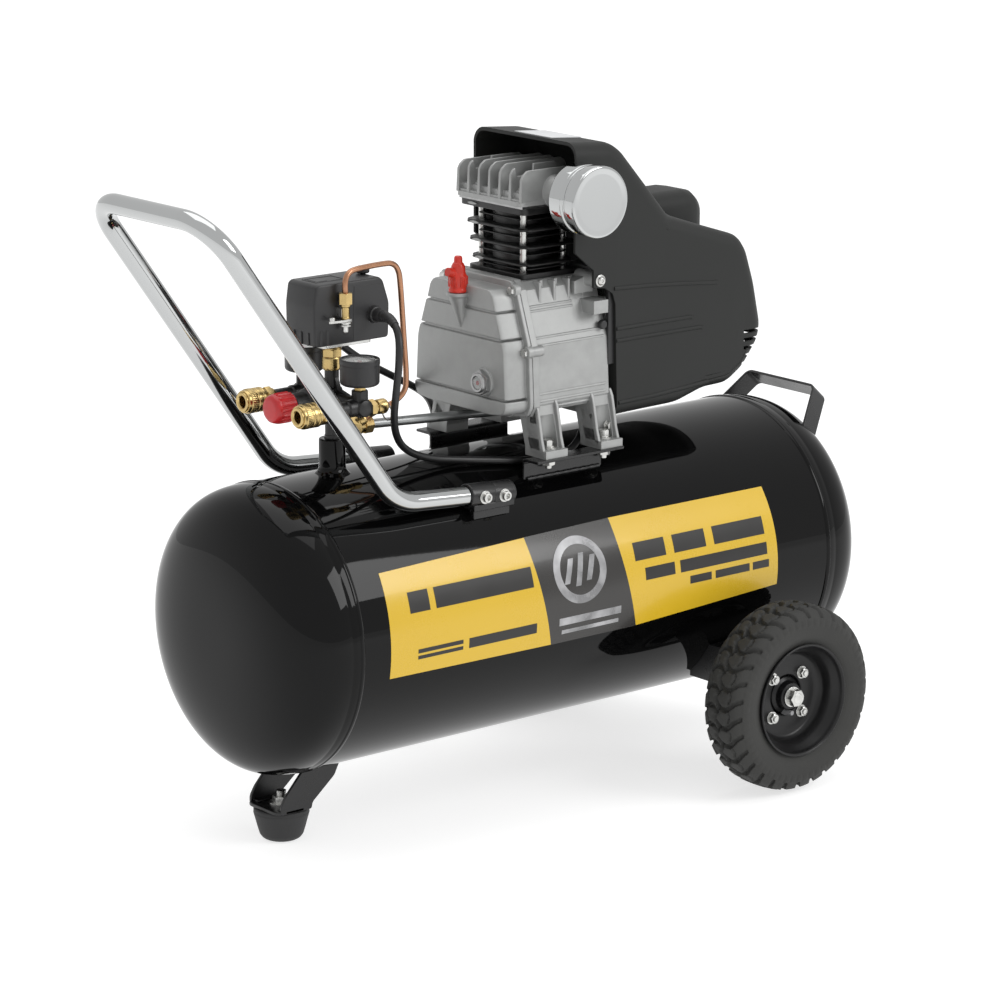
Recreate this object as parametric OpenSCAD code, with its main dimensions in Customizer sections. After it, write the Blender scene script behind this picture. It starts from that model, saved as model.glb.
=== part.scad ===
// Wheeled air compressor: a horizontal tank carries a direct-drive piston pump,
// its motor under a moulded shroud, the pressure controls, two wheels, a rubber
// foot, a tow handle and a mains lead. Millimetres, +Z up. The tank's axis runs
// along X with the tow handle at -X, and Z = 0 is the floor.

/* [Tank] */
// Outside diameter of the tank
tank_d = 305; // [300:1:308]
// Length of the rolled shell, seam to seam
shell_len = 653; // [640:1:660]
// Depth of each domed head
head_depth = 78; // [70:1:84]
// Steel thickness of the tank
tank_wall = 2.5; // [2:0.1:3]
// Height of the tank's axis above the floor
tank_z = 231; // [230:1:233]

/* [Wheels and foot] */
// Diameter over the tyre
tyre_d = 211.6; // [208:0.2:212]
// Width of the tyre
tyre_w = 60; // [56:1:60]
// Distance from the middle of the object to a wheel's outer face
wheel_face_y = 241; // [240:1:246]
// Place of the wheels along the tank
wheel_x = 209; // [200:1:214]
// Place of the rubber foot along the tank
foot_x = -317; // [-320:1:-312]
// Height of the rubber foot
foot_h = 35; // [34:0.5:36]

/* [Tow handle] */
// Diameter of the handle's tube
handle_d = 21; // [20:0.5:22]
// Distance from the middle of the object to a handle leg
handle_y = 101.5; // [100:0.5:103]
// Angle at which the legs rise
handle_angle = 54; // [50:1:56]

/* [Pump] */
// Bore of the cylinder
bore_d = 47; // [46:0.5:48]
// Stroke of the piston
stroke = 38; // [36:1:40]
// Height of the crankshaft
crank_z = 500; // [499:0.5:501]
// Place of the cylinder along the tank
cyl_x = 9; // [8:0.5:10]

/* [Lead] */
// Diameter of the mains lead
cord_d = 8; // [7:0.5:8]

/* [Hidden] */
$fn = 64;

// From the tank's middle to the middle of the overall length
origin_shift = 34.45;

tank_r = tank_d / 2;
shell_end = shell_len / 2;
tank_top = tank_z + tank_r;

// Height of the tank's skin at a distance y from its middle plane
function skin_z(y) = tank_z + sqrt(tank_r * tank_r - y * y);

// Sizes that several sub-parts share
wheel_z = tyre_d / 2;
wheel_in_y = wheel_face_y - tyre_w;
axle_r = 8;
hub_y = 219;
web_y = [207, 211];
bolt_circle = 30.8;
run_gap = 0.05;
rail_y = 77.7;
rail_top = 384;
rail_t = 3;
foot_bolt_y = 86;
foot_bolt_x = [-26, 51];
case_bottom = 427.5;
case_top = 566;
case_front_x = -45;
case_rear_x = 62;
cyl_top = 643;
plate_t = 3;
head_top = 687;
stud_x = 27;
stud_y = 34;
fin_y = 52;
shaft_r = 10;
motor_x = [92, 152];
stator_r = 65;
riser_x = -247;
riser_r = 8;
boss_top = 420.5;
bar_z = 461;
branch_y = 47;
gauge_r = 21;
gauge_z = [484, 512];
box_x = [-287, -190];
box_y = 24.5;
box_z = [524, 588];
gland_x = -211;
gland_z = 550;
gland_len = 14;
filter_z = 656;
filter_r = 38;
cord_r = cord_d / 2;
shroud_half_y = 84;
shroud_t = 3;
lug_x = 46;
lug_z = 563;
drain_tilt = 30;

// Rods, rings and boxes placed by their ends
module at_origin() { translate([origin_shift, 0, 0]) children(); }
module rod_x(r, x0, x1, y, z) { translate([x0, y, z]) rotate([0, 90, 0]) cylinder(r = r, h = x1 - x0); }
module rod_y(r, y0, y1, x, z) { translate([x, y0, z]) rotate([-90, 0, 0]) cylinder(r = r, h = y1 - y0); }
module rod_z(r, z0, z1, x, y) { translate([x, y, z0]) cylinder(r = r, h = z1 - z0); }
module hex_x(af, x0, x1, y, z) {
    translate([x0, y, z]) rotate([0, 90, 0]) cylinder(d = af / cos(30), h = x1 - x0, $fn = 6);
}
module hex_y(af, y0, y1, x, z) {
    translate([x, y0, z]) rotate([-90, 0, 0]) cylinder(d = af / cos(30), h = y1 - y0, $fn = 6);
}
module hex_z(af, z0, z1, x, y) { translate([x, y, z0]) cylinder(d = af / cos(30), h = z1 - z0, $fn = 6); }
module box(x, y, z) { translate([x[0], y[0], z[0]]) cube([x[1] - x[0], y[1] - y[0], z[1] - z[0]]); }
module both_sides() { for (side = [0, 1]) mirror([0, side, 0]) children(); }
module both_ends() { for (side = [0, 1]) mirror([side, 0, 0]) children(); }

// A profile in X and Z pushed out along Y, and one in Y and Z pushed out along X
module side_plate(points, y0, y1) {
    translate([0, y1, 0]) rotate([90, 0, 0]) linear_extrude(height = y1 - y0) polygon(points);
}
module cross_plate(points, x0, x1) {
    translate([x0, 0, 0]) rotate([90, 0, 90]) linear_extrude(height = x1 - x0) polygon(points);
}
// A turned part whose profile is [distance along the axis, radius]
module turned_x(points) { rotate([0, 90, 0]) turned_z(points); }
module turned_z(points) { rotate_extrude($fn = 96) polygon([for (p = points) [p[1], p[0]]]); }

// Corner points of a closed outline moved inwards by d, for points that run anticlockwise
function unit(v) = v / norm(v);
function left_of(v) = [-v[1], v[0]];
function cross2(a, b) = a[0] * b[1] - a[1] * b[0];
function inset_point(a, b, c, d) =
    let (u = unit(b - a), v = unit(c - b), p = b + d * left_of(u), q = b + d * left_of(v), k = cross2(u, v))
    abs(k) < 0.001 ? p : p + u * (cross2(q - p, v) / k);
function inset(pts, d) =
    let (n = len(pts)) [for (i = [0:n - 1]) inset_point(pts[(i + n - 1) % n], pts[i], pts[(i + 1) % n], d)];
// A quarter or other arc as points
function arc(cx, cy, r, a0, a1, n = 6) =
    [for (i = [0:n]) [cx + r * cos(a0 + (a1 - a0) * i / n), cy + r * sin(a0 + (a1 - a0) * i / n)]];

// A tube that starts at the origin along +Z: ["run", length] or ["bend", radius, angle, turn]
module tube_section(r, wall) {
    difference() {
        circle(r = r);
        circle(r = r - wall);
    }
}
// The straight lengths reach a little way into the bends beside them, inside their walls
lap = 0.8;
lap_skin = 0.02;
module tube_run(steps, r, wall, i = 0) {
    if (i < len(steps)) {
        step = steps[i];
        if (step[0] == "run") {
            before = i > 0 ? lap : 0;
            after = i < len(steps) - 1 ? lap : 0;
            translate([0, 0, -before]) linear_extrude(height = before + step[1] + after)
                tube_section(r - lap_skin, wall - 2 * lap_skin);
            translate([0, 0, step[1]]) tube_run(steps, r, wall, i + 1);
        } else {
            bend_r = step[1];
            rotate([0, 0, step[3]]) translate([bend_r, 0, 0]) {
                rotate([90, 0, 0]) mirror([1, 0, 0])
                    rotate_extrude(angle = step[2]) translate([bend_r, 0]) tube_section(r, wall);
                rotate([0, step[2], 0]) translate([-bend_r, 0, 0]) tube_run(steps, r, wall, i + 1);
            }
        }
    }
}

// A hexagon-headed bolt along +Z from under its head, with a washer
module hex_bolt(af, head_h, shank_r, shank_l, washer_r = 0, washer_t = 1.5) {
    translate([0, 0, washer_t]) cylinder(d = af / cos(30), h = head_h, $fn = 6);
    if (washer_r > 0) cylinder(r = washer_r, h = washer_t);
    translate([0, 0, -shank_l]) cylinder(r = shank_r, h = shank_l + washer_t);
}

// A cord as one closed skin swept along smooth points
function catmull(a, b, c, d, t) =
    0.5 * (2 * b + (c - a) * t + (2 * a - 5 * b + 4 * c - d) * t * t
        + (3 * b - a - 3 * c + d) * t * t * t);
function smooth_path(pts, per) =
    let (n = len(pts))
    concat([for (i = [0:n - 2], k = [0:per - 1])
        catmull(pts[max(i - 1, 0)], pts[i], pts[i + 1], pts[min(i + 2, n - 1)], k / per)], [pts[n - 1]]);
function path_dir(path, i) =
    unit(path[min(i + 1, len(path) - 1)] - path[max(i - 1, 0)]);
// Carries the ring's side direction along the path, so that the skin never twists
function side_dirs(path, i = 0, last = [0, 0, 0], found = []) =
    i == len(path) ? found :
    let (t = path_dir(path, i), raw = i == 0 ? (abs(t[2]) > 0.9 ? [1, 0, 0] : [0, 0, 1]) : last,
         s = unit(raw - t * (raw * t)))
    side_dirs(path, i + 1, s, concat(found, [s]));
module swept(path, r, sides = 8) {
    dirs = side_dirs(path);
    n = len(path);
    points = [for (i = [0:n - 1]) let (t = path_dir(path, i), s = dirs[i], w = cross(t, s))
        for (k = [0:sides - 1]) path[i] + r * (s * cos(360 * k / sides) + w * sin(360 * k / sides))];
    skin = [for (i = [0:n - 2], k = [0:sides - 1]) let (m = (k + 1) % sides)
        [i * sides + k, (i + 1) * sides + k, (i + 1) * sides + m, i * sides + m]];
    ends = [[for (k = [0:sides - 1]) k], [for (k = [sides - 1:-1:0]) (n - 1) * sides + k]];
    polyhedron(points = points, faces = concat(skin, ends), convexity = 6);
}

// ---------------------------------------------------------------- tank

// The drain stands square to the shell, on the far side of its lowest line
module at_drain() { translate([0, 0, tank_z]) rotate([drain_tilt, 0, 0]) children(); }

// Half outline of a domed head: it leaves the shell square and closes on the axis
dome_steps = 20;
dome_power = 3;
function dome_r(s, r, depth) = r * pow(1 - pow(s / depth, dome_power), 1 / dome_power);
function dome(r, depth) = [for (i = [0:dome_steps])
    let (s = depth * sin(90 * i / dome_steps))
    [shell_end + s, i == dome_steps ? 0 : dome_r(s, r, depth)]];

// Everything inside the outer skin of the head at +X
module head_space() { turned_x(concat(dome(tank_r + 0.01, head_depth), [[shell_end, 0]])); }

module tank_shell() color("#141416") at_origin() {
    difference() {
        union() {
            rod_x(tank_r, -shell_end, shell_end, 0, tank_z);
            rod_z(14, tank_top - 4, boss_top, riser_x, 0);
        }
        rod_x(tank_r - tank_wall, -shell_end - 1, shell_end + 1, 0, tank_z);
        rod_z(riser_r + run_gap, tank_top - 12, boss_top + 1, riser_x, 0);
        at_drain() rod_z(6, -tank_r - 1, -tank_r + 9, 0, 0);
    }
}

module tank_heads() color("#141416") at_origin() {
    outer = dome(tank_r, head_depth);
    inner = dome(tank_r - tank_wall, head_depth - tank_wall);
    both_ends() translate([0, 0, tank_z])
        turned_x(concat(outer, [for (i = [dome_steps:-1:0]) inner[i]]));
}

// ---------------------------------------------------------------- foot and wheels

bracket_z = foot_h + 3.5;
module foot_bracket() color("#161618") at_origin() {
    difference() {
        union() {
            box([foot_x - 29, foot_x + 27], [-28, 28], [foot_h, bracket_z]);
            both_sides() side_plate([[foot_x - 29, foot_h], [foot_x + 24, foot_h],
                [foot_x + 58, tank_z - 148], [foot_x - 14, tank_z - 148],
                [foot_x - 29, foot_h + 24]], 24.5, 28);
        }
        rod_x(tank_r + 0.01, -shell_end - 1, shell_end, 0, tank_z);
        translate([0, 0, tank_z]) mirror([1, 0, 0]) head_space();
        rod_z(6, foot_h - 1, bracket_z + 1, foot_x, 0);
    }
}

module rubber_foot() color("#2b2b2c") at_origin() translate([foot_x, 0, 0]) difference() {
    turned_z([[0, 0], [0, 20.5], [2, 22.5], [24, 24.5], [30, 28.5], [foot_h - 1.5, 28.5], [foot_h, 27],
        [foot_h, 0]]);
    rod_z(6, 12, foot_h + 1, 0, 0);
}

// A shelf at the level of the shell's flank, an upright that takes the axle bolt and a foot on the shell
axle_plate_y = 172;
module axle_brackets() color("#161618") at_origin() both_sides() difference() {
    union() {
        box([wheel_x - 40, wheel_x + 40], [axle_plate_y, axle_plate_y + 4], [82, 152]);
        box([wheel_x - 40, wheel_x + 40], [120, axle_plate_y + 4], [148, 152]);
        box([wheel_x - 40, wheel_x - 36], [100, axle_plate_y + 4], [110, 152]);
        box([wheel_x + 36, wheel_x + 40], [100, axle_plate_y + 4], [110, 152]);
    }
    rod_x(tank_r + 0.01, 0, shell_end, 0, tank_z);
    rod_y(axle_r, 160, 190, wheel_x, wheel_z);
}

// Shoulder bolts on which the wheels turn
module axle_bolts() color("#b9bbbd") at_origin() both_sides() {
    rod_y(axle_r, axle_plate_y - 3, hub_y + 0.6, wheel_x, wheel_z);
    hex_y(22, axle_plate_y - 13, axle_plate_y - 3, wheel_x, wheel_z);
    rod_y(13, axle_plate_y - 3, axle_plate_y, wheel_x, wheel_z);
    rod_y(11, hub_y + 0.6, hub_y + 2, wheel_x, wheel_z);
    hex_y(17, hub_y + 2, hub_y + 10, wheel_x, wheel_z);
}

rim_r = 61.3;
module wheel_at(side) translate([wheel_x, 0, wheel_z]) scale([1, side, 1]) children();
// Turned about the axle: profile points are [distance from the middle plane, radius]
module turned_y(points) { rotate([-90, 0, 0]) turned_z(points); }

module tyre() {
    r = tyre_d / 2;
    turned_y(concat([[wheel_in_y + 5, rim_r]], arc(wheel_in_y + 12, rim_r + 14, 11, 215, 160, 4),
        arc(wheel_in_y + 17, r - 17, 17, 160, 95, 6), arc(wheel_face_y - 17, r - 17, 17, 85, 20, 6),
        arc(wheel_face_y - 12, rim_r + 14, 11, 20, -35, 4), [[wheel_face_y - 5, rim_r]]));
}
module rim() {
    difference() {
        turned_y([[wheel_in_y + 3, rim_r - 3], [wheel_in_y + 3, rim_r], [wheel_face_y - 3, rim_r],
            [wheel_face_y - 3, rim_r - 3], [wheel_face_y - 8, rim_r - 4], [wheel_face_y - 14, 51],
            [web_y[1] + 4, 46], [web_y[1], 39], [web_y[1], 22], [web_y[1] - 4, 22], [web_y[1] - 4, 15],
            [hub_y, 15], [hub_y, axle_r + run_gap], [wheel_in_y + 1, axle_r + run_gap],
            [wheel_in_y + 1, 19], [web_y[0] - 4, 19], [web_y[0] - 4, 43], [web_y[0], 46],
            [wheel_face_y - 18, 54], [wheel_in_y + 8, 54], [wheel_in_y + 8, rim_r - 4]]);
        for (a = [45:90:315])
            rod_y(4, web_y[0] - 5, web_y[1] + 1, bolt_circle * cos(a), bolt_circle * sin(a));
    }
    for (a = [45:90:315]) translate([bolt_circle * cos(a), web_y[1], bolt_circle * sin(a)])
        rotate([-90, 0, 0]) hex_bolt(10, 6, 4, 6, washer_r = 7);
    // Tyre valve
    rod_y(3.5, web_y[0] - 4, web_y[1] + 9, 0, -18.5);
}
module near_tyre() color("#1f1f20") at_origin() wheel_at(-1) tyre();
module far_tyre() color("#1f1f20") at_origin() wheel_at(1) tyre();
module near_rim() color("#17171a") at_origin() wheel_at(-1) rim();
module far_rim() color("#17171a") at_origin() wheel_at(1) rim();

// ---------------------------------------------------------------- handles

handle_x = -100;
handle_z = 359;
handle_dip = 4;
low_run = 118;
low_bend_r = 57;
top_bend_r = 45;
leg_len = 359;
clamp_r = 13;
clamp_run = [-8, 52];
clamp_bolts = [10, 36];

// The frame of the tube's end in the near or far clamp, with Z along the tube
module at_handle_end() {
    translate([handle_x, handle_y, handle_z]) rotate([0, handle_dip - 90, 0]) children();
}

// A place on the clamp's outer side, so far along the tube, with Z pointing out
module at_clamp_bolt(along) {
    at_handle_end() translate([0, clamp_r, along]) rotate([-90, 0, 0]) children();
}

// From the far clamp, along the tank, up the slope, across at the top and back to the near clamp
module tow_handle() color("#cfd2d4") at_origin()
    at_handle_end()
        tube_run([["run", low_run], ["bend", low_bend_r, handle_angle - handle_dip, 0],
            ["run", leg_len - top_bend_r], ["bend", top_bend_r, 90, -90],
            ["run", 2 * (handle_y - top_bend_r)], ["bend", top_bend_r, 90, 0],
            ["run", leg_len - top_bend_r], ["bend", low_bend_r, handle_angle - handle_dip, 90],
            ["run", low_run]], handle_d / 2, 1.5);

// Blocks welded to the shell that grip the ends of the tube
module handle_clamps() color("#1b1b1c") at_origin() both_sides() difference() {
    union() {
        at_handle_end() translate([0, 0, clamp_run[0]]) cylinder(r = clamp_r, h = clamp_run[1] - clamp_run[0]);
        box([-146, -98], [handle_y - 12, handle_y + 7], [330, 356]);
    }
    rod_x(tank_r + 0.3, -160, -80, 0, tank_z);
    at_handle_end() cylinder(r = handle_d / 2, h = 60);
    for (x = clamp_bolts) at_clamp_bolt(x) translate([0, 0, -1.5]) cylinder(r = 4, h = 4);
}

// A bent strap that leans with the shoulder of the tank head
strap_w = 24;
strap_t = 3;
strap_lean = 42;
strap_base = [371, 76, 354];
strap_rise = 49;
strap_half = 50;
module carry_handle() color("#1b1b1c") at_origin() difference() {
    translate([strap_base[0], 0, strap_base[2]]) rotate([0, strap_lean, 0]) translate([-strap_w / 2, 0, 0])
        rotate([90, 0, 90]) linear_extrude(height = strap_w) polygon(concat(
            [[-strap_base[1], -8], [-strap_base[1] + 3.4, -8]],
            arc(-strap_half + 3, strap_rise - 11, 8, 150, 90, 4),
            arc(strap_half - 3, strap_rise - 11, 8, 90, 30, 4),
            [[strap_base[1] - 3.4, -8], [strap_base[1], -8]],
            arc(strap_half - 3, strap_rise - 11, 11, 30, 90, 4),
            arc(-strap_half + 3, strap_rise - 11, 11, 90, 150, 4)));
    translate([0, 0, tank_z]) head_space();
    rod_x(tank_r + 0.01, 0, shell_end, 0, tank_z);
}

// ---------------------------------------------------------------- pump mounting

module pump_rails() color("#1b1b1c") at_origin() both_sides() difference() {
    union() {
        box([-54, 54], [rail_y - 1.5, rail_y + 1.5], [350, rail_top]);
        box([-54, 68], [rail_y - 1.5, rail_y + 24.5], [rail_top - rail_t, rail_top]);
    }
    rod_x(tank_r + 0.01, -60, 70, 0, tank_z);
    for (x = foot_bolt_x) rod_z(4, rail_top - 5, rail_top + 1, x, foot_bolt_y);
    rod_y(4, 70, 85, -46, 374);
}

pad_h = 8.5;
module frame_fasteners() color("#b9bbbd") at_origin() {
    // Pump feet
    both_sides() for (x = foot_bolt_x) translate([x, foot_bolt_y, rail_top + pad_h]) {
        hex_bolt(10, 7, 4, 22, washer_r = 9);
        translate([0, 0, -pad_h - rail_t - 6.5]) cylinder(d = 13 / cos(30), h = 6.5, $fn = 6);
    }
    // Tow handle clamps
    both_sides() for (x = clamp_bolts) at_clamp_bolt(x) {
        cylinder(r = 7, h = 1.5);
        cylinder(r = 5, h = 6.5);
        translate([0, 0, -1.5]) cylinder(r = 4, h = 1.5);
    }
    // Rubber foot
    translate([foot_x, 0, bracket_z]) hex_bolt(17, 7, 6, 26, washer_r = 13);
}

// ---------------------------------------------------------------- pump castings

// Half outline of the crankcase, seen along the shaft, from the bottom to the top
case_half = [[56, case_bottom], [76, case_bottom + 3], [81.5, case_bottom + 12], [78, 500],
    [62, 545], [58, 558], [50, case_top]];
case_outline = concat(case_half,
    [for (i = [len(case_half) - 1:-1:0]) [-case_half[i][0], case_half[i][1]]]);
case_inner = inset(case_outline, 6);
cover_outline = inset(case_outline, 4);
cover_inner = inset(case_outline, 9);
leg_profile = [[66, rail_top], [100, rail_top], [100, rail_top + pad_h], [90, rail_top + pad_h],
    [80, case_bottom + 12], [56, case_bottom + 1], [66, rail_top + pad_h]];
case_screws = [[-74, 497], [74, 497], [-53, 560], [53, 560], [-48, case_bottom + 2], [48, case_bottom + 2]];

module crankcase() color("#a5a7a7") at_origin() difference() {
    union() {
        cross_plate(case_outline, case_front_x, case_rear_x);
        cross_plate(inset(case_outline, -3.5), case_front_x, case_front_x + 8);
        rod_x(33, case_rear_x - 14, case_rear_x + 4, 0, crank_z);
        box([cyl_x - 40, cyl_x + 40], [-46, 46], [case_top - 12, case_top]);
        both_sides() {
            for (x = foot_bolt_x) {
                translate([x - 15, 0, 0]) cross_plate(leg_profile, 0, 30);
            }
            for (x = [-14, 6, 26])
                side_plate([[x, 545], [x + 4, 545], [x + 4, case_top], [x, case_top]], 44, 56);
            rod_y(6, 50, shroud_half_y - shroud_t, lug_x, lug_z);
        }
        translate([case_front_x, -79, 497]) rod_x(6, 0, 14, 0, 0);
        translate([case_front_x, 79, 497]) rod_x(6, 0, 14, 0, 0);
        box([36, 56], [-86, -60], [528, 542]);
    }
    cross_plate(case_inner, case_front_x - 1, case_rear_x - 8);
    rod_z(bore_d / 2 + 2, case_top - 20, case_top + 1, cyl_x, 0);
    rod_x(23.5, case_rear_x - 6, case_rear_x + 5, 0, crank_z);
    rod_x(shaft_r + 3, case_rear_x - 16, case_rear_x - 5, 0, crank_z);
    both_sides() for (x = foot_bolt_x) {
        rod_z(4, rail_top - 1, rail_top + pad_h + 1, x, foot_bolt_y);
        rod_z(10, rail_top + pad_h, case_bottom, x, foot_bolt_y);
    }
    for (x = [-1, 1], y = [-1, 1])
        rod_z(4, case_top - 9, case_top + 1, cyl_x + x * stud_x, y * stud_y);
    both_sides() rod_y(2.5, shroud_half_y - shroud_t - 6, shroud_half_y, lug_x, lug_z);
}

cover_x = -76;
breather_at = [-66, 0];
module crankcase_cover() color("#a5a7a7") at_origin() difference() {
    union() {
        cross_plate(inset(case_outline, -3.5), case_front_x - 5, case_front_x);
        cross_plate(cover_outline, cover_x + 6, case_front_x);
        cross_plate(inset(case_outline, 8), cover_x, cover_x + 6);
        translate([breather_at[0] - 13, 0, 0]) rod_z(11, 520, 553, 0, breather_at[1]);
        rod_x(15, cover_x - 3, cover_x, -40, 463);
    }
    cross_plate(cover_inner, cover_x + 5, case_front_x + 1);
    rod_z(8.05, 530, 554, breather_at[0] - 13, breather_at[1]);
    rod_z(10.4, 553.5, 576, breather_at[0] - 13, breather_at[1]);
    rod_x(11, cover_x - 4, cover_x + 6, -40, 463);
    for (at = case_screws) {
        rod_x(3, case_front_x - 6, case_front_x + 1, at[0] * 1.06, at[1]);
        rod_x(5.7, cover_x - 1, case_front_x - 5, at[0] * 1.06, at[1]);
    }
}

module pump_fasteners() color("#b9bbbd") at_origin() {
    // Cover screws
    for (at = case_screws) translate([case_front_x - 5, at[0] * 1.06, at[1]]) rotate([0, -90, 0])
        hex_bolt(8, 5, 3, 5, washer_r = 5.5, washer_t = 1);
    // Long studs through the cylinder and the head
    for (x = [-1, 1], y = [-1, 1]) translate([cyl_x + x * stud_x, y * stud_y, head_top - 24]) {
        cylinder(d = 13 / cos(30), h = 7, $fn = 6);
        translate([0, 0, case_top - 9 - (head_top - 24)]) cylinder(r = 4, h = head_top - 24 - case_top + 9);
    }
    // Shroud screws
    both_sides() translate([lug_x, shroud_half_y, lug_z]) rotate([-90, 0, 0]) {
        cylinder(r = 6.5, h = 1.2);
        cylinder(r = 4.5, h = 4);
        translate([0, 0, -9]) cylinder(r = 2.5, h = 9);
    }
}

// The oil level window screws into the cover's face
module sight_glass() color("#d8dcdc", 0.6) at_origin() {
    hex_x(24, cover_x - 9, cover_x - 3, -40, 463);
    rod_x(11, cover_x - 3, cover_x + 5, -40, 463);
    rod_x(9.5, cover_x - 11, cover_x - 9, -40, 463);
}

// A push-in vent: its stem stands in the cover's boss
module oil_breather() color("#c8352c") at_origin() translate([breather_at[0] - 13, breather_at[1], 0]) {
    rod_z(8, 534, 553.5, 0, 0);
    rod_z(10, 553.5, 573, 0, 0);
    rod_z(8, 573, 583, 0, 0);
    rod_z(4.5, 583, 592, -1, -1);
    translate([0, 0, 572]) rotate([0, -60, 0]) rod_z(5, 0, 15, 0, 0);
}

// ---------------------------------------------------------------- cylinder and head

fin_levels = [581, 600, 619];
module cylinder_fin(z, t, half_x, half_y) {
    box([cyl_x - half_x, cyl_x + half_x], [-half_y, half_y], [z - t / 2, z + t / 2]);
}
module cylinder_barrel() color("#1c1c1d") at_origin() difference() {
    union() {
        rod_z(31, case_top, cyl_top, cyl_x, 0);
        box([cyl_x - 38, cyl_x + 38], [-46, 46], [case_top, case_top + 6]);
        for (i = [0:2]) cylinder_fin(fin_levels[i], 4, 38 + 2 * i, fin_y - 4 + 2 * i);
        cylinder_fin(cyl_top - 3.5, 7, 43, fin_y + 1);
    }
    rod_z(bore_d / 2, case_top - 1, cyl_top + 1, cyl_x, 0);
    for (x = [-1, 1], y = [-1, 1]) rod_z(4, case_top - 1, cyl_top + 1, cyl_x + x * stud_x, y * stud_y);
}

module valve_plate() color("#8f9294") at_origin() difference() {
    box([cyl_x - 44, cyl_x + 44], [-52, 52], [cyl_top, cyl_top + plate_t]);
    for (x = [-1, 1], y = [-1, 1])
        rod_z(4, cyl_top - 1, cyl_top + plate_t + 1, cyl_x + x * stud_x, y * stud_y);
    for (y = [-12, 12]) rod_z(4, cyl_top - 1, cyl_top + plate_t + 1, cyl_x, y);
}

head_bottom = cyl_top + plate_t;
head_fins = 7;
module cylinder_head() color("#b4b6b6") at_origin() difference() {
    union() {
        box([cyl_x - 48, cyl_x + 46], [-54, 54], [head_bottom, head_bottom + 13]);
        for (i = [0:head_fins - 1]) let (y = -52.5 + 105 * i / (head_fins - 1))
            side_plate([[cyl_x - 48, head_bottom], [cyl_x + 46, head_bottom], [cyl_x + 43, head_top],
                [cyl_x - 38, head_top], [cyl_x - 43, head_top - 5]], y - 1.7, y + 1.7);
        rod_y(13.9, -64, -50, cyl_x, filter_z + 4);
        rod_y(12, 50, port_y, port_x, port_z);
    }
    for (x = [-1, 1], y = [-1, 1]) {
        rod_z(4, head_bottom - 1, head_top, cyl_x + x * stud_x, y * stud_y);
        rod_z(11, head_top - 24, head_top + 1, cyl_x + x * stud_x, y * stud_y);
    }
    both_sides() box([cyl_x - 34, cyl_x + 34], [4, 28], [head_bottom - 1, head_bottom + 8]);
    rod_y(9, -65, -20, cyl_x, filter_z);
    rod_y(6, 47, port_y + 1, port_x, port_z);
}

// The can clips round a foam ring and draws air through its rim
module filter_housing() color("#d5d7d8") at_origin() difference() {
    union() {
        rod_y(filter_r - 1, -105, -84, cyl_x, filter_z);
        rod_y(filter_r - 3, -108, -105, cyl_x, filter_z);
        rod_y(filter_r - 1, -114, -108, cyl_x, filter_z);
        rod_y(filter_r, -126, -113, cyl_x, filter_z);
        rod_y(12, -84, -64, cyl_x, filter_z);
    }
    rod_y(filter_r - 5, -124.5, -86, cyl_x, filter_z);
    rod_y(8, -87, -63, cyl_x, filter_z);
}
module filter_element() color("#4a4a46") at_origin() difference() {
    rod_y(filter_r - 6, -123, -87, cyl_x, filter_z);
    rod_y(16, -124, -86, cyl_x, filter_z);
}

// ---------------------------------------------------------------- running gear

piston_top = cyl_top - 0.8;
pin_z = piston_top - 21;
rod_x_range = [1, 14];
crank_throw = stroke / 2;
module piston() color("#b9bcbd") at_origin() difference() {
    rod_z(bore_d / 2 - 0.1, piston_top - 38, piston_top, cyl_x, 0);
    rod_z(bore_d / 2 - 4, piston_top - 39, piston_top - 7, cyl_x, 0);
    rod_x(6, -20, 40, 0, pin_z);
    for (z = [4, 9]) difference() {
        rod_z(bore_d / 2 + 1, piston_top - z - 1, piston_top - z, cyl_x, 0);
        rod_z(bore_d / 2 - 1.2, piston_top - z - 2, piston_top - z + 1, cyl_x, 0);
    }
}
// The rod with the gudgeon pin in its small end and an oil dipper under its big end
module connecting_rod() color("#9fa3a4") at_origin() {
    big_z = crank_z + crank_throw;
    difference() {
        union() {
            rod_x(16, rod_x_range[0], rod_x_range[1], 0, big_z);
            rod_x(10, rod_x_range[0], rod_x_range[1], 0, pin_z);
            box([rod_x_range[0] + 2, rod_x_range[1] - 2], [-6, 6], [big_z + 12, pin_z - 6]);
            box([rod_x_range[0] + 4, rod_x_range[1] - 4], [-2, 2], [big_z - 28, big_z - 12]);
        }
        rod_x(10, rod_x_range[0] - 1, rod_x_range[1] + 1, 0, big_z);
        rod_x(6, rod_x_range[0] - 1, rod_x_range[1] + 1, 0, pin_z);
    }
    rod_x(6, cyl_x - 19, cyl_x + 19, 0, pin_z);
}
// One web with its counterweight; the crankpin is a stub that stops short of the rod
module crankshaft() color("#8d9193") at_origin() {
    rod_x(shaft_r, 27, 66, 0, crank_z);
    rod_x(9, 66, 196, 0, crank_z);
    rod_x(7.5, 196, 236, 0, crank_z);
    rod_x(9, 15.2, 17, 0, crank_z + crank_throw);
    rod_x(14, 17, 27, 0, crank_z + crank_throw);
    box([17, 27], [-14, 14], [crank_z - 12, crank_z + crank_throw]);
    intersection() {
        rod_x(36, 17, 27, 0, crank_z);
        box([17, 27], [-36, 36], [crank_z - 36, crank_z - 6]);
    }
}
module crank_bearings() color("#a9adaf") at_origin() {
    difference() {
        rod_x(23.5, case_rear_x - 6, case_rear_x + 3, 0, crank_z);
        rod_x(shaft_r + run_gap, case_rear_x - 7, case_rear_x + 5, 0, crank_z);
    }
    difference() {
        rod_x(17.5, 198, 209, 0, crank_z);
        rod_x(7.5 + run_gap, 197, 210, 0, crank_z);
    }
}

// ---------------------------------------------------------------- motor

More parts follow.
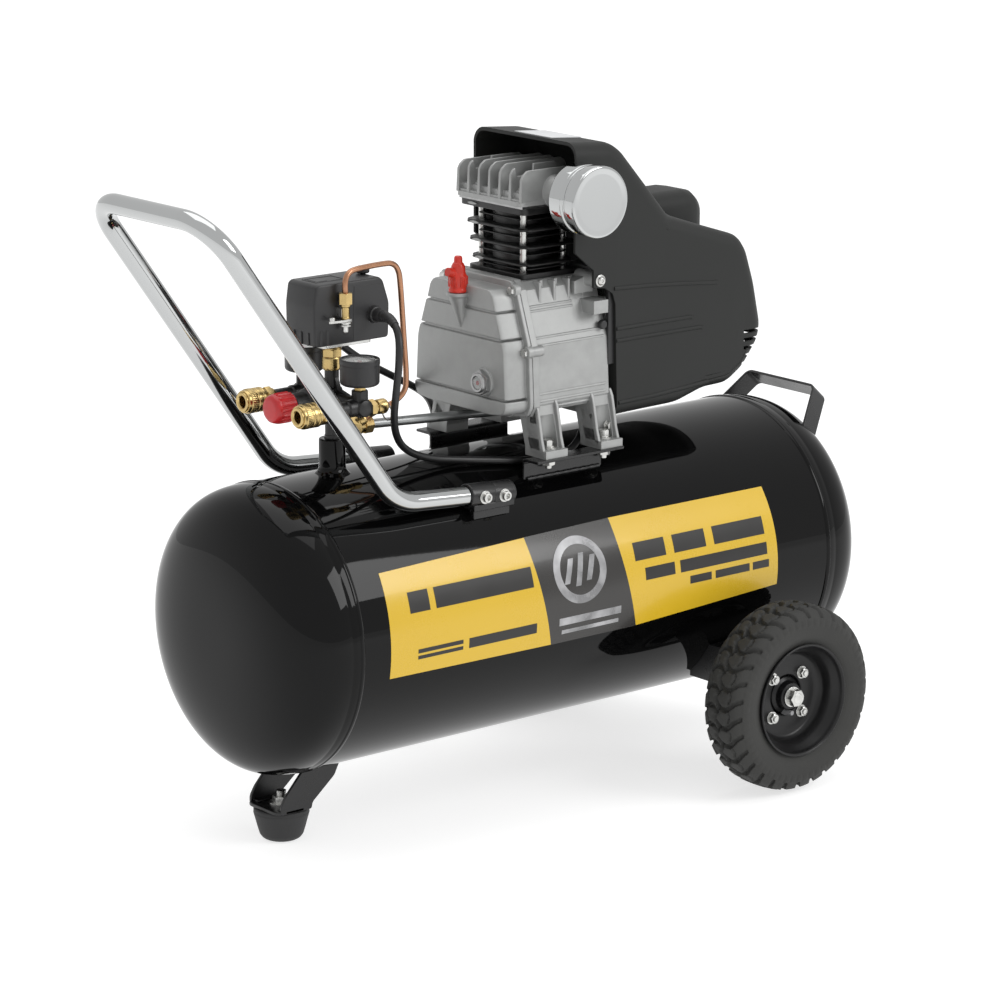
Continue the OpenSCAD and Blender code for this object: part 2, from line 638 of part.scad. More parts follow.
module motor_stator() color("#6f6a62") at_origin() {
    difference() {
        rod_x(stator_r, motor_x[0], motor_x[1], 0, crank_z);
        rod_x(37.7, motor_x[0] - 1, motor_x[1] + 1, 0, crank_z);
    }
    for (x = [[motor_x[0] - 14, motor_x[0]], [motor_x[1], motor_x[1] + 14]]) difference() {
        rod_x(58, x[0], x[1], 0, crank_z);
        rod_x(41, x[0] - 1, x[1] + 1, 0, crank_z);
    }
}
module motor_rotor() color("#9a9c9d") at_origin() difference() {
    rod_x(37, motor_x[0] - 6, motor_x[1] + 6, 0, crank_z);
    rod_x(9, motor_x[0] - 7, motor_x[1] + 7, 0, crank_z);
}
// Front plate behind the crankcase, a sleeve round the stator and a spider with the rear bearing
module motor_frame() color("#2a2a2b") at_origin() {
    difference() {
        union() {
            cross_plate([[-70, 408], [70, 408], [70, 545], [56, 570], [-56, 570], [-70, 545]],
                case_rear_x + 4, case_rear_x + 7);
            rod_x(stator_r + 2, case_rear_x + 6, motor_x[1] + 26, 0, crank_z);
        }
        rod_x(stator_r, case_rear_x + 7, motor_x[1] + 30, 0, crank_z);
        rod_x(24, case_rear_x + 3, case_rear_x + 8, 0, crank_z);
        // Grommet hole for the motor lead
        rod_x(7, case_rear_x + 3, case_rear_x + 8, -46, 417);
    }
    difference() {
        union() {
            for (a = [0, 90]) translate([motor_x[1] + 20, 0, crank_z]) rotate([a, 0, 0])
                box([0, 5], [-7, 7], [-stator_r - 1, stator_r + 1]);
            rod_x(21, motor_x[1] + 20, 209, 0, crank_z);
        }
        rod_x(17.5, 198, 210, 0, crank_z);
        rod_x(10, motor_x[1] + 19, 199, 0, crank_z);
    }
}
fan_blades = 7;
module cooling_fan() color("#d8d8d2") at_origin() difference() {
    union() {
        rod_x(17, 213, 233, 0, crank_z);
        for (i = [0:fan_blades - 1]) translate([223, 0, crank_z]) rotate([360 * i / fan_blades, 0, 0])
            translate([0, 0, 15]) rotate([0, 0, 35]) translate([-11, -1, 0]) cube([22, 2, 43]);
    }
    rod_x(7.5, 212, 237, 0, crank_z);
}
module run_capacitor() color("#3c3d3e") at_origin() rod_x(17, 166, 236, 22, 602);

// ---------------------------------------------------------------- shroud

// Side outline, anticlockwise as seen with +X to the right and +Z up
shroud_profile = concat([[72, 411], [108, 412], [164, 413], [204, 424], [238, 425], [262, 440]],
    [[284, 468], [288, 486], [277, 535], [264, 573], [252, 588], [192, 607], [150, 621], [118, 657]],
    [[80, 699], [64, 708], [12, 712], [11, 596], [37, 575], [37, 556], [53, 554], [64, 547]],
    [[68, 535], [70, 470]]);
// Rounded outline across the shroud
function shroud_round(half, r, low, high) = concat(
    arc(half - r, low + r, r, -90, 0, 5), arc(half - r, high - r, r, 0, 90, 5),
    arc(-half + r, high - r, r, 90, 180, 5), arc(-half + r, low + r, r, 180, 270, 5));
module shroud_solid(d, grow = 0) intersection() {
    side_plate(inset(shroud_profile, d), -shroud_half_y + d, shroud_half_y - d);
    union() {
        cross_plate(shroud_round(shroud_half_y - d, 16, 411 + d, 640), 0, 300);
        cross_plate(shroud_round(shroud_half_y - d, 18, 411 + d, 712 - d), 0, 300);
    }
}
bump_y = [-14, 56];
bump_x = [150, 262];
module shroud_bump(d) intersection() {
    box([bump_x[0] - 30, bump_x[1] - d], [bump_y[0] + d, bump_y[1] - d], [586 - 3 * d, 630 - d]);
    cross_plate(shroud_round_bump(d), bump_x[0] - 30, bump_x[1]);
    side_plate([[118, 585], [bump_x[1] - d, 580], [bump_x[1] - d, 612], [bump_x[1] - 18, 628 - d],
        [140, 628 - d]], -100, 100);
}
function shroud_round_bump(d) = concat([[bump_y[1] - d, 560]], arc(bump_y[1] - 18, 612, 18 - d, 0, 90, 5),
    arc(bump_y[0] + 18, 612, 18 - d, 90, 180, 5), [[bump_y[0] + d, 560]]);
vent_rows = 6;
module fan_shroud() color("#3b3d3b") at_origin() difference() {
    union() {
        shroud_solid(0);
        shroud_bump(0);
    }
    shroud_solid(shroud_t);
    shroud_bump(shroud_t);
    // Mouth over the cylinder head and the open end behind the crankcase
    translate([-8, 0, 0]) shroud_solid(shroud_t);
    box([0, 66], [shroud_t - shroud_half_y, shroud_half_y - shroud_t], [540, 597]);
    rod_y(14, -shroud_half_y - 1, shroud_t - shroud_half_y + 1, cyl_x, filter_z);
    rod_y(14, shroud_half_y - shroud_t - 1, shroud_half_y + 1, port_x, port_z);
    for (i = [0:vent_rows - 1]) box([256, 300], [-90, 90], [434 + 9 * i, 438 + 9 * i]);
    for (i = [0:6]) box([240, 300], [-52, 52], [490 + 10 * i, 495 + 10 * i]);
    both_sides() rod_y(2.5, shroud_half_y - shroud_t - 1, shroud_half_y + 1, lug_x, lug_z);
}

// ---------------------------------------------------------------- air lines

pipe_r = 5;
valve_z = 428;
valve_end_x = -198;
pipe_fall = 3.6;
pipe_up_x = 30;
pipe_up_y = 90;
port_x = pipe_up_x;
port_z = filter_z + 5;
port_y = 62;
pipe_bend = 22;
pipe_len_x = (pipe_up_x - valve_end_x) / cos(pipe_fall) - pipe_bend;
pipe_low_z = valve_z - (pipe_len_x + pipe_bend) * sin(pipe_fall);
// From the check valve under the crankcase, up its far side and into the head
module discharge_pipe() color("#8e9192") at_origin()
    translate([valve_end_x, 0, valve_z]) rotate([0, 90 + pipe_fall, 0])
        tube_run([["run", pipe_len_x], ["bend", pipe_bend, 90, 90], ["run", pipe_up_y - 2 * pipe_bend],
            ["bend", pipe_bend, 90, 90 - pipe_fall], ["run", port_z - pipe_low_z - 2 * pipe_bend],
            ["bend", pipe_bend, 90, 0], ["run", pipe_up_y - pipe_bend - port_y]], pipe_r, 1);

unloader_port = [-222, -3, 431];
port_tilt = [17.5, 63, 0];
module check_valve() color("#b0914a") at_origin() difference() {
    union() {
        rod_x(7, -239, -231, 0, valve_z);
        hex_x(20, -231, -215, 0, valve_z);
        rod_x(8, -215, -208, 0, valve_z);
        hex_x(17, -208, valve_end_x, 0, valve_z);
        translate(unloader_port) rotate(port_tilt) rod_z(5.5, 0, 15, 0, 0);
    }
    rod_x(4, -240, valve_end_x + 1, 0, valve_z);
}

// Copper tube from the pressure switch's unloader to the check valve
unloader_x = -255;
unloader_y = -34;
unloader_route = [[unloader_x, unloader_y, 579], [unloader_x, unloader_y, 590], [-250, -33, 598],
    [-238, -31, 601], [-200, -25, 601], [-185, -23, 599], [-177, -22, 591], [-174, -22, 575],
    [-168, -20, 520], [-165, -20, 478], [-167, -19, 462], [-178, -17, 452], [-192, -13, 446],
    [-209, -7.6, 437.5]];
module unloader_tube() color("#b87a52") at_origin() swept(smooth_path(unloader_route, 3), 3, 10);

// ---------------------------------------------------------------- manifold and controls

module manifold() color("#1a1a1b") at_origin() difference() {
    union() {
        rod_z(riser_r, 402, 437, riser_x, 0);
        rod_z(11, 437, 474, riser_x, 0);
        rod_z(7.5, 474, 493, riser_x, 0);
        rod_y(9, -58, 58, riser_x, bar_z);
        both_sides() {
            rod_z(8.4, bar_z, 479, riser_x, branch_y);
            rod_x(7.8, -289, riser_x, branch_y, bar_z);
        }
        rod_x(8, riser_x, -236, -branch_y, bar_z - 3);
        // Regulator body and bonnet
        rod_x(17, -282, riser_x, 0, bar_z);
        rod_x(13, -300, -282, 0, bar_z);
        rod_x(5, -322, -300, 0, bar_z);
    }
    rod_z(4.5, 401, 494, riser_x, 0);
    both_sides() rod_x(3.2, -290, riser_x, branch_y, bar_z);
    rod_y(4, -52, 52, riser_x, bar_z);
    rod_x(7, -239, -230, 0, valve_z);
}

// Brass nuts and stubs screwed between the pipework's larger parts
module pipe_fittings() color("#b0914a") at_origin() {
    difference() {
        union() {
            rod_z(10, 493, 507, riser_x, 0);
            hex_z(19, 507, 520, riser_x, 0);
        }
        rod_z(4.5, 492, 521, riser_x, 0);
    }
    both_sides() {
        hex_z(11, 479, 483, riser_x, branch_y);
        rod_z(4, 483, gauge_z[0], riser_x, branch_y);
    }
    difference() {
        hex_y(19, port_y, port_y + 5.8, port_x, port_z);
        rod_y(pipe_r, port_y - 1, port_y + 10, port_x, port_z);
    }
}

module switch_base() color("#2a2a2c") at_origin() {
    box([-271, -212], [-20, 20], [520, 523.7]);
    box([-266, -216], [-15, 15], [523.7, 562]);
    both_sides() difference() {
        union() {
            rod_y(8, box_y - 6, box_y + 4, gland_x, gland_z);
            rod_y(6.2, box_y + 4, box_y + gland_len, gland_x, gland_z);
        }
        rod_y(cord_r, box_y - 7, box_y + gland_len + 1, gland_x, gland_z);
    }
}
cover_profile = [[box_x[0], box_z[0]], [box_x[1] - 1, box_z[0]], [box_x[1], 560],
    [box_x[1] - 8, box_z[1] - 3], [box_x[1] - 12, box_z[1]], [box_x[0] + 5, box_z[1]],
    [box_x[0] + 2, box_z[1] - 4], [box_x[0] - 1, 565]];
module switch_cover() color("#2c2d2e") at_origin() difference() {
    side_plate(cover_profile, -box_y, box_y);
    side_plate(inset(cover_profile, 2.5), -box_y + 2.5, box_y - 2.5);
    box([-274, -209], [-21, 21], [box_z[0] - 1, box_z[0] + 3]);
    both_sides() rod_y(8, box_y - 3, box_y + 1, gland_x, gland_z);
    rod_z(3 + run_gap, box_z[1] - 4, box_z[1] + 1, -206, 0);
}
// Pull up to start, push down to stop
module switch_knob() color("#2a2a2b") at_origin() {
    rod_z(3, 572, 589, -206, 0);
    rod_z(7, 589, 596, -206, 0);
}

module unloader_valve() color("#b8a05c") at_origin() {
    hex_z(13, 567, 579, unloader_x, unloader_y);
    rod_z(4.8, 548, 567, unloader_x, unloader_y);
    box([-276, -249], [unloader_y - 4, unloader_y + 4], [549, 552]);
    rod_z(3, 538, 549, unloader_x, unloader_y);
    rod_z(6, 545, 547, unloader_x, unloader_y);
    box([-260, -250], [unloader_y, -box_y], [554, 563]);
}

knob_x = [-327, -301.5];
flutes = 18;
module regulator_knob() color("#bb2a33") at_origin() difference() {
    rod_x(16, knob_x[0], knob_x[1], 0, bar_z);
    rod_x(5 + run_gap, -323, knob_x[1] + 1, 0, bar_z);
    for (i = [0:flutes - 1]) translate([0, 0, bar_z]) rotate([360 * i / flutes, 0, 0])
        rod_x(1.3, knob_x[0] + 4, knob_x[1] + 1, 0, 16.6);
}

dial_z = 505;
lens_z = 509;
module gauge_bodies() color("#1a1a1b") at_origin() both_sides() difference() {
    rod_z(gauge_r, gauge_z[0], gauge_z[1], riser_x, branch_y);
    rod_z(gauge_r - 2, dial_z, gauge_z[1] + 1, riser_x, branch_y);
}
module gauge_lenses() color("#e8eef0", 0.4) at_origin() both_sides()
    rod_z(gauge_r - 2, lens_z, lens_z + 1.5, riser_x, branch_y);
module needle(side) {
    translate([riser_x, side * branch_y, 0]) {
        rod_z(2.4, dial_z + 0.6, lens_z - 0.6, 0, 0);
        rotate([0, 0, 225]) box([-4, 15], [-0.6, 0.6], [dial_z + 1.6, dial_z + 2.4]);
    }
}
module tank_needle() color("#c02020") at_origin() needle(1);
module outlet_needle() color("#c02020") at_origin() needle(-1);

// ---------------------------------------------------------------- couplers and valves

mouth_x = -328;
mouth_r = 6;
coupler_r = 10.5;
sleeve_x = [-326, -303];
module coupler_bodies() color("#b89b58") at_origin() both_sides() difference() {
    union() {
        rod_x(coupler_r, mouth_x, -299, branch_y, bar_z);
        hex_x(21, -299, -289, branch_y, bar_z);
    }
    rod_x(mouth_r, mouth_x - 1, mouth_x + 22, branch_y, bar_z);
    rod_x(3.5, mouth_x + 20, -288, branch_y, bar_z);
}
module sleeve(side) difference() {
    rod_x(13, sleeve_x[0], sleeve_x[1], side * branch_y, bar_z);
    rod_x(coupler_r + run_gap, sleeve_x[0] - 1, sleeve_x[1] + 1, side * branch_y, bar_z);
}
module near_sleeve() color("#c2a765") at_origin() sleeve(-1);
module far_sleeve() color("#c2a765") at_origin() sleeve(1);

safety_z = bar_z - 3;
module safety_valve() color("#a58a47") at_origin() translate([0, -branch_y, safety_z]) difference() {
    union() {
        hex_x(16, -236, -229, 0, 0);
        rod_x(6, -229, -227, 0, 0);
        rod_x(8, -227, -214, 0, 0);
    }
    rod_x(2 + run_gap, -228, -213, 0, 0);
}
// The ring hangs through an eye in the end of the valve's stem
module safety_ring() color("#c8cacb") at_origin() translate([0, -branch_y, safety_z]) {
    rod_x(2, -224, -209, 0, 0);
    translate([-211.3, 0, -7.5]) rotate([0, 90, 0])
        rotate_extrude() translate([8, 0]) circle(r = 0.9, $fn = 24);
}

module drain_valve() color("#b0914a") at_origin() at_drain() difference() {
    union() {
        rod_z(6, -tank_r - 10, -tank_r + 9, 0, 0);
        hex_z(14, -tank_r - 8, -tank_r - 1, 0, 0);
        rod_y(3, 0, 14, 0, -tank_r - 5);
    }
    rod_z(3 + run_gap, -tank_r - 11, -tank_r + 2, 0, 0);
}
module drain_screw() color("#b0914a") at_origin() at_drain() {
    rod_z(3, -tank_r - 14, -tank_r, 0, 0);
    rod_z(8, -tank_r - 20, -tank_r - 14, 0, 0);
}

// ---------------------------------------------------------------- leads

// Motor lead: out of the near gland, down to the tank and under the pump into the motor
lead_route = [[gland_x, -box_y - gland_len, gland_z], [-211, -48.5, 549.5], [-212, -57.5, 546.5],
    [-213.5, -65.5, 541], [-215.5, -71.5, 533], [-217.5, -75, 523.5], [-219, -76.5, 512.5],
    [-219.5, -76, 499.5], [-219, -73, 485], [-217.5, -68.5, 469], [-214, -62, 452], [-208, -55, 436],
    [-199, -48.5, 421.5], [-187, -43, 409.5], [-171, -40, 399.5], [-150, -39, 391.5],
    [-126, -40, 386.5], [-100, -45, 383], [-74, -51, 380], [-48, -57, 377], [-20, -62, 375],
    [4, -64, 375.5], [25, -62, 379.5], [41, -57, 387.5], [53, -51, 399], [61, -47, 410],
    [case_rear_x + 4, -46, 417]];
module motor_lead() color("#1d1e1f") at_origin() swept(smooth_path(lead_route, 2), cord_r, 8);

// Mains lead: out of the far gland, behind the crankcase, over the tank and down to the floor
cord_floor_z = cord_r + 0.2;
coil_x = 41.2;
coil_y = 296;
coil_r = 47.2;
coil_h = 2 * cord_d;
cord_route = [[gland_x, box_y + gland_len, gland_z], [-211, 48.5, 549.5], [-210, 58, 546.5],
    [-207.5, 66.5, 540.5], [-203, 73, 532], [-196.5, 77.5, 521.5], [-187, 79.5, 509.5],
    [-173.5, 79, 496], [-157, 76.5, 483], [-138, 74, 470.5], [-117, 73.5, 459], [-97, 75, 448.5],
    [-79, 79.5, 439.5], [-62, 86.5, 430.5], [-45, 95.5, 420], [-30, 105, 406], [-19, 113.5, 388],
    [-13, 122, 366], [-10, 132, 338], [-10, 144.5, 302], [-10, 155, 260], [-10, 160, 210],
    [-10, 161, 150], [-10, 162, 100], [-10, 164.5, 66], [-10, 172, 37], [-10, 187, 15],
    [-10, 207, 6], [-10, 228, cord_floor_z], [-10, 247, cord_floor_z], [-10, 267, cord_floor_z]];
module power_cord() color("#1d1e1f") at_origin() swept(smooth_path(cord_route, 2), cord_r, 8);

module cord_coil() color("#1d1e1f") at_origin() translate([coil_x, coil_y, 0.1]) rotate_extrude()
    translate([coil_r - cord_d, 0]) square([2 * cord_d, coil_h]);

module mains_plug() color("#1d1e1f") at_origin() translate([coil_x + coil_r + 2, coil_y, coil_h + 0.2]) {
    box([-16, 16], [-28, 4], [0, 24]);
    for (x = [-6.4, 5.4]) box([x, x + 1.5], [-45, -28], [9, 16]);
    rod_y(2.4, -46, -28, 0, 18.6);
}

tank_shell();
tank_heads();
foot_bracket();
rubber_foot();
axle_brackets();
axle_bolts();
near_tyre();
near_rim();
far_tyre();
far_rim();
tow_handle();
handle_clamps();
carry_handle();
pump_rails();
frame_fasteners();
crankcase();
crankcase_cover();
pump_fasteners();
sight_glass();
oil_breather();
cylinder_barrel();
valve_plate();
cylinder_head();
piston();
connecting_rod();
crankshaft();
crank_bearings();
motor_stator();
motor_rotor();
motor_frame();
cooling_fan();
run_capacitor();
fan_shroud();
filter_housing();
filter_element();
discharge_pipe();
check_valve();
unloader_tube();
manifold();
pipe_fittings();
switch_base();
switch_cover();
switch_knob();
unloader_valve();
regulator_knob();
gauge_bodies();
gauge_lenses();
tank_needle();
outlet_needle();
coupler_bodies();
near_sleeve();
far_sleeve();
safety_valve();
safety_ring();
drain_valve();
drain_screw();
motor_lead();
power_cord();
cord_coil();
mains_plug();
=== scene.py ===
"""Looks of the wheeled air compressor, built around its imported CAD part.

Lengths in the making are millimetres in the tank's frame: X along the tank from its middle,
Y from the middle plane, Z up from the floor. mm() turns them into metres in the row's frame.
"""
import math

import bmesh
import bpy
from mathutils import Matrix, Vector


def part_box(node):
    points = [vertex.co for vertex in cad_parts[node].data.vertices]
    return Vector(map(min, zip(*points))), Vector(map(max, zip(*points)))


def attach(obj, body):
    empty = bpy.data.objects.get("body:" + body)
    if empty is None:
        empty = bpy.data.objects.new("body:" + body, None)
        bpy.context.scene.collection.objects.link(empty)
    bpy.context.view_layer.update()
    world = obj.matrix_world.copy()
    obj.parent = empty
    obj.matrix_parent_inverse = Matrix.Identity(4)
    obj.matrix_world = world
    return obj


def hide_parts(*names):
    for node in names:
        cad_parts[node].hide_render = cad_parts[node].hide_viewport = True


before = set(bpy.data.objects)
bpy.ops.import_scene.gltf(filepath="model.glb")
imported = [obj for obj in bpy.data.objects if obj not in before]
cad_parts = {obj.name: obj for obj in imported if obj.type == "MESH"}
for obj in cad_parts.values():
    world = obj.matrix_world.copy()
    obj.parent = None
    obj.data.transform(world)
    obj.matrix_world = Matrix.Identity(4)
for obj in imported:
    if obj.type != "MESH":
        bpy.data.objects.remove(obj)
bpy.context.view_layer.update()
shell_lo, shell_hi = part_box("tank_shell")
SHIFT = (shell_lo[0] + shell_hi[0]) * 500.0
TAU = 2 * math.pi


def mm(x, y, z):
    return Vector(((x + SHIFT) / 1000.0, y / 1000.0, z / 1000.0))


# ------------------------------------------------------------------ materials


def nodes_of(name):
    mat = bpy.data.materials.new(name)
    mat.use_nodes = True
    tree = mat.node_tree
    return mat, tree, tree.nodes["Principled BSDF"]


def put(tree, kind, **values):
    node = tree.nodes.new(kind)
    for key, value in values.items():
        if hasattr(node, key):
            setattr(node, key, value)
        else:
            node.inputs[key.replace("_", " ")].default_value = value
    return node


def noise_at(tree, coords, scale, detail=4.0):
    node = put(tree, "ShaderNodeTexNoise", Scale=scale, Detail=detail, Roughness=0.55)
    tree.links.new(coords, node.inputs["Vector"])
    return node.outputs["Fac"]


def ramp(tree, fac, low, high, a=0.35, b=0.65):
    node = put(tree, "ShaderNodeMapRange", clamp=True)
    for key, value in (("From Min", a), ("From Max", b), ("To Min", low), ("To Max", high)):
        node.inputs[key].default_value = value
    tree.links.new(fac, node.inputs["Value"])
    return node.outputs["Result"]


def surface(name, color, dark=0.75, rough=(0.4, 0.5), metal=0.0, grain=900.0, bump=0.1, depth=0.0001,
            mottle=25.0, specular=0.5, coat=0.0, coat_rough=0.03, edge=0.0):
    """A surface with uneven colour, uneven gloss and a fine grain in its normals."""
    mat, tree, bsdf = nodes_of(name)
    coords = put(tree, "ShaderNodeTexCoord").outputs["Object"]
    blotch = noise_at(tree, coords, mottle)
    grainy = noise_at(tree, coords, grain, detail=3.0)
    mix = put(tree, "ShaderNodeMix", data_type="RGBA")
    mix.inputs["A"].default_value = (*[c * dark for c in color], 1)
    mix.inputs["B"].default_value = (*color, 1)
    tree.links.new(ramp(tree, blotch, 0.0, 1.0), mix.inputs["Factor"])
    tree.links.new(mix.outputs["Result"], bsdf.inputs["Base Color"])
    both = put(tree, "ShaderNodeMath", operation="ADD")
    half = put(tree, "ShaderNodeMath", operation="MULTIPLY")
    half.inputs[1].default_value = 0.35
    tree.links.new(grainy, half.inputs[0])
    tree.links.new(blotch, both.inputs[0])
    tree.links.new(half.outputs[0], both.inputs[1])
    tree.links.new(ramp(tree, both.outputs[0], rough[0], rough[1], 0.45, 0.9), bsdf.inputs["Roughness"])
    bsdf.inputs["Metallic"].default_value = metal
    bsdf.inputs["Specular IOR Level"].default_value = specular
    bsdf.inputs["Coat Weight"].default_value = coat
    bsdf.inputs["Coat Roughness"].default_value = coat_rough
    normal = None
    if edge:
        round_edges = put(tree, "ShaderNodeBevel", samples=6)
        round_edges.inputs["Radius"].default_value = edge
        normal = round_edges.outputs["Normal"]
    if bump:
        relief = put(tree, "ShaderNodeBump")
        relief.inputs["Strength"].default_value = bump
        relief.inputs["Distance"].default_value = depth
        tree.links.new(grainy, relief.inputs["Height"])
        if normal:
            tree.links.new(normal, relief.inputs["Normal"])
        normal = relief.outputs["Normal"]
    if normal:
        tree.links.new(normal, bsdf.inputs["Normal"])
    return mat


GLOSS = surface("gloss_black_enamel", (0.0018, 0.0018, 0.0019), rough=(0.03, 0.05), grain=90, bump=0.02,
                depth=0.0004, mottle=6, specular=0.19)
SATIN = surface("satin_black_paint", (0.008, 0.008, 0.0085), rough=(0.22, 0.34), bump=0.12, edge=0.0006)
RIM = surface("rim_black_paint", (0.008, 0.008, 0.0084), rough=(0.3, 0.42), grain=700, specular=0.34)
TYRE = surface("tyre_rubber_black", (0.033, 0.033, 0.031), dark=0.7, rough=(0.62, 0.8), bump=0.35,
               depth=0.0002, mottle=18, specular=0.4)
FOOT = surface("foot_rubber_black", (0.02, 0.02, 0.0205), rough=(0.55, 0.7), grain=700, bump=0.2,
               depth=0.0002)
CHROME = surface("chrome_plate", (0.50, 0.51, 0.51), dark=0.96, rough=(0.04, 0.08), metal=1.0, grain=60,
                 bump=0.01, depth=0.0002, mottle=4)
ZINC = surface("zinc_plate", (0.66, 0.66, 0.64), dark=0.78, rough=(0.22, 0.38), metal=1.0, bump=0.12,
               mottle=160, edge=0.0003)
CAST = surface("cast_aluminium", (0.372, 0.377, 0.372), dark=0.88, rough=(0.42, 0.58), metal=0.55,
               grain=1300, bump=0.35, depth=0.00025, mottle=60, edge=0.0009)
TUBE_AL = surface("drawn_aluminium", (0.36, 0.37, 0.37), dark=0.85, rough=(0.28, 0.4), metal=0.9, grain=500,
                  bump=0.06, mottle=70)
IRON = surface("black_cast_iron", (0.009, 0.009, 0.009), dark=0.6, rough=(0.3, 0.48), grain=1000, bump=0.3,
               depth=0.0003, mottle=90, edge=0.0006)
STEEL = surface("machined_steel", (0.42, 0.42, 0.42), dark=0.8, rough=(0.25, 0.4), metal=1.0, grain=700,
                bump=0.06, mottle=90, edge=0.0003)
COILS = surface("stator_laminations", (0.3, 0.17, 0.09), dark=0.55, rough=(0.4, 0.6), metal=0.6, grain=500,
                bump=0.5, depth=0.0006, mottle=120)
BRASS = surface("turned_brass", (0.60, 0.44, 0.19), dark=0.80, rough=(0.2, 0.34), metal=1.0, grain=600,
                bump=0.08, mottle=110, edge=0.0003)
COPPER = surface("copper_tube", (0.47, 0.24, 0.14), dark=0.82, rough=(0.26, 0.4), metal=0.9, grain=400,
                 bump=0.06, mottle=45)
PLASTIC = surface("black_moulded_plastic", (0.017, 0.017, 0.018), dark=0.85, rough=(0.36, 0.48), grain=1600,
                  bump=0.25, depth=0.00012, edge=0.0007)
SHROUD = surface("shroud_plastic", (0.014, 0.0148, 0.014), dark=0.9, rough=(0.5, 0.6), grain=1500, bump=0.35,
                 depth=0.00016, mottle=14, edge=0.0009, specular=0.3)
RED = surface("red_plastic", (0.50, 0.018, 0.022), dark=0.82, rough=(0.28, 0.4), bump=0.06, mottle=70,
              edge=0.0004)
ORANGE_RED = surface("red_soft_plastic", (0.62, 0.03, 0.015), dark=0.8, rough=(0.25, 0.36), grain=700,
                     bump=0.06, mottle=80, edge=0.0004)
WHITE = surface("white_fan_plastic", (0.60, 0.60, 0.56), dark=0.9, rough=(0.4, 0.5), bump=0.08, edge=0.0004)
LEAD = surface("lead_jacket", (0.010, 0.010, 0.0105), dark=0.8, rough=(0.34, 0.46), bump=0.12, mottle=50)
FOAM = surface("filter_foam", (0.075, 0.075, 0.07), dark=0.5, rough=(0.85, 0.95), bump=0.9, depth=0.0012,
               mottle=200)
YELLOW = surface("label_yellow", (0.62, 0.40, 0.018), dark=0.975, rough=(0.24, 0.32), bump=0.03, mottle=10,
                 coat=0.2, coat_rough=0.08)
DARK = surface("label_dark", (0.022, 0.020, 0.018), dark=0.8, rough=(0.24, 0.3), bump=0.03, mottle=12,
               coat=0.2, coat_rough=0.08)
SILVER = surface("label_silver", (0.42, 0.42, 0.43), dark=0.45, rough=(0.25, 0.35), bump=0.03, mottle=30,
                 metal=0.2)
INK = surface("label_ink", (0.012, 0.011, 0.010), dark=0.85, rough=(0.3, 0.4), bump=0.03)
DIAL = surface("dial_white", (0.72, 0.72, 0.70), dark=0.95, rough=(0.4, 0.5), grain=600, bump=0.02,
               depth=0.0002)
STICKER = surface("pale_sticker", (0.66, 0.67, 0.68), dark=0.9, rough=(0.35, 0.45), grain=500, bump=0.04,
                  depth=0.0002)


def glass():
    mat, tree, bsdf = nodes_of("clear_window")
    coords = put(tree, "ShaderNodeTexCoord").outputs["Object"]
    bsdf.inputs["Transmission Weight"].default_value = 0.92
    bsdf.inputs["IOR"].default_value = 1.49
    tree.links.new(ramp(tree, noise_at(tree, coords, 150.0), 0.03, 0.08), bsdf.inputs["Roughness"])
    bsdf.inputs["Base Color"].default_value = (0.93, 0.94, 0.93, 1)
    return mat


GLASS = glass()

# ------------------------------------------------------------------ making meshes


def object_from(name, bm):
    mesh = bpy.data.meshes.new(name)
    bm.to_mesh(mesh)
    bm.free()
    obj = bpy.data.objects.new(name, mesh)
    bpy.context.collection.objects.link(obj)
    return obj


def placed(name, bm):
    """An object from a bmesh in millimetres of the tank's frame, its faces turned outwards."""
    bmesh.ops.recalc_face_normals(bm, faces=bm.faces)
    for v in bm.verts:
        v.co = mm(*v.co)
    return object_from(name, bm)


def finish_mesh(name, bm, mat, body="frame", smooth=32.0, bevel=0.0, segments=2, bevel_angle=30.0):
    """Turns a bmesh in millimetres of the tank's frame into a piece on a body."""
    obj = placed(name, bm)
    mesh = obj.data
    mesh.materials.append(mat)
    if bevel:
        mod = obj.modifiers.new("bevel", "BEVEL")
        mod.width = bevel / 1000.0
        mod.segments = segments
        mod.limit_method = "ANGLE"
        mod.angle_limit = math.radians(bevel_angle)
        mod.harden_normals = False
    mesh.shade_smooth()
    mesh.set_sharp_from_angle(angle=math.radians(60.0 if bevel else smooth))
    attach(obj, body)
    return obj


def piece(name, bm, mat, slot, *nodes, **looks):
    """A finished mesh with its material, standing for some CAD nodes; the slot argument is not used."""
    obj = finish_mesh(name, bm, mat, **looks)
    if nodes:
        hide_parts(*nodes)
    return obj


def ring_grid(bm, rows, closed_u=True, closed_v=False):
    """Quads between rows of points; every row holds as many points."""
    made = [[bm.verts.new(p) for p in row] for row in rows]
    nu, nv = len(made), len(made[0])
    for i in range(nu if closed_u else nu - 1):
        for j in range(nv if closed_v else nv - 1):
            a, b = made[i], made[(i + 1) % nu]
            quad = [a[j], a[(j + 1) % nv], b[(j + 1) % nv], b[j]]
            quad = [v for k, v in enumerate(quad) if v not in quad[:k]]
            if len(quad) > 2:
                bm.faces.new(quad)
    return made


def loft(bm, rows):
    """A closed form through rows of points, each row a closed outline."""
    made = ring_grid(bm, rows, closed_u=False, closed_v=True)
    bm.faces.new(made[0])
    bm.faces.new(list(reversed(made[-1])))


def frame_of(axis):
    """Two directions square to an axis given as a vector."""
    axis = Vector(axis).normalized()
    side = Vector((0, 0, 1)) if abs(axis.z) < 0.9 else Vector((1, 0, 0))
    u = axis.cross(side).normalized()
    return axis, u, axis.cross(u)


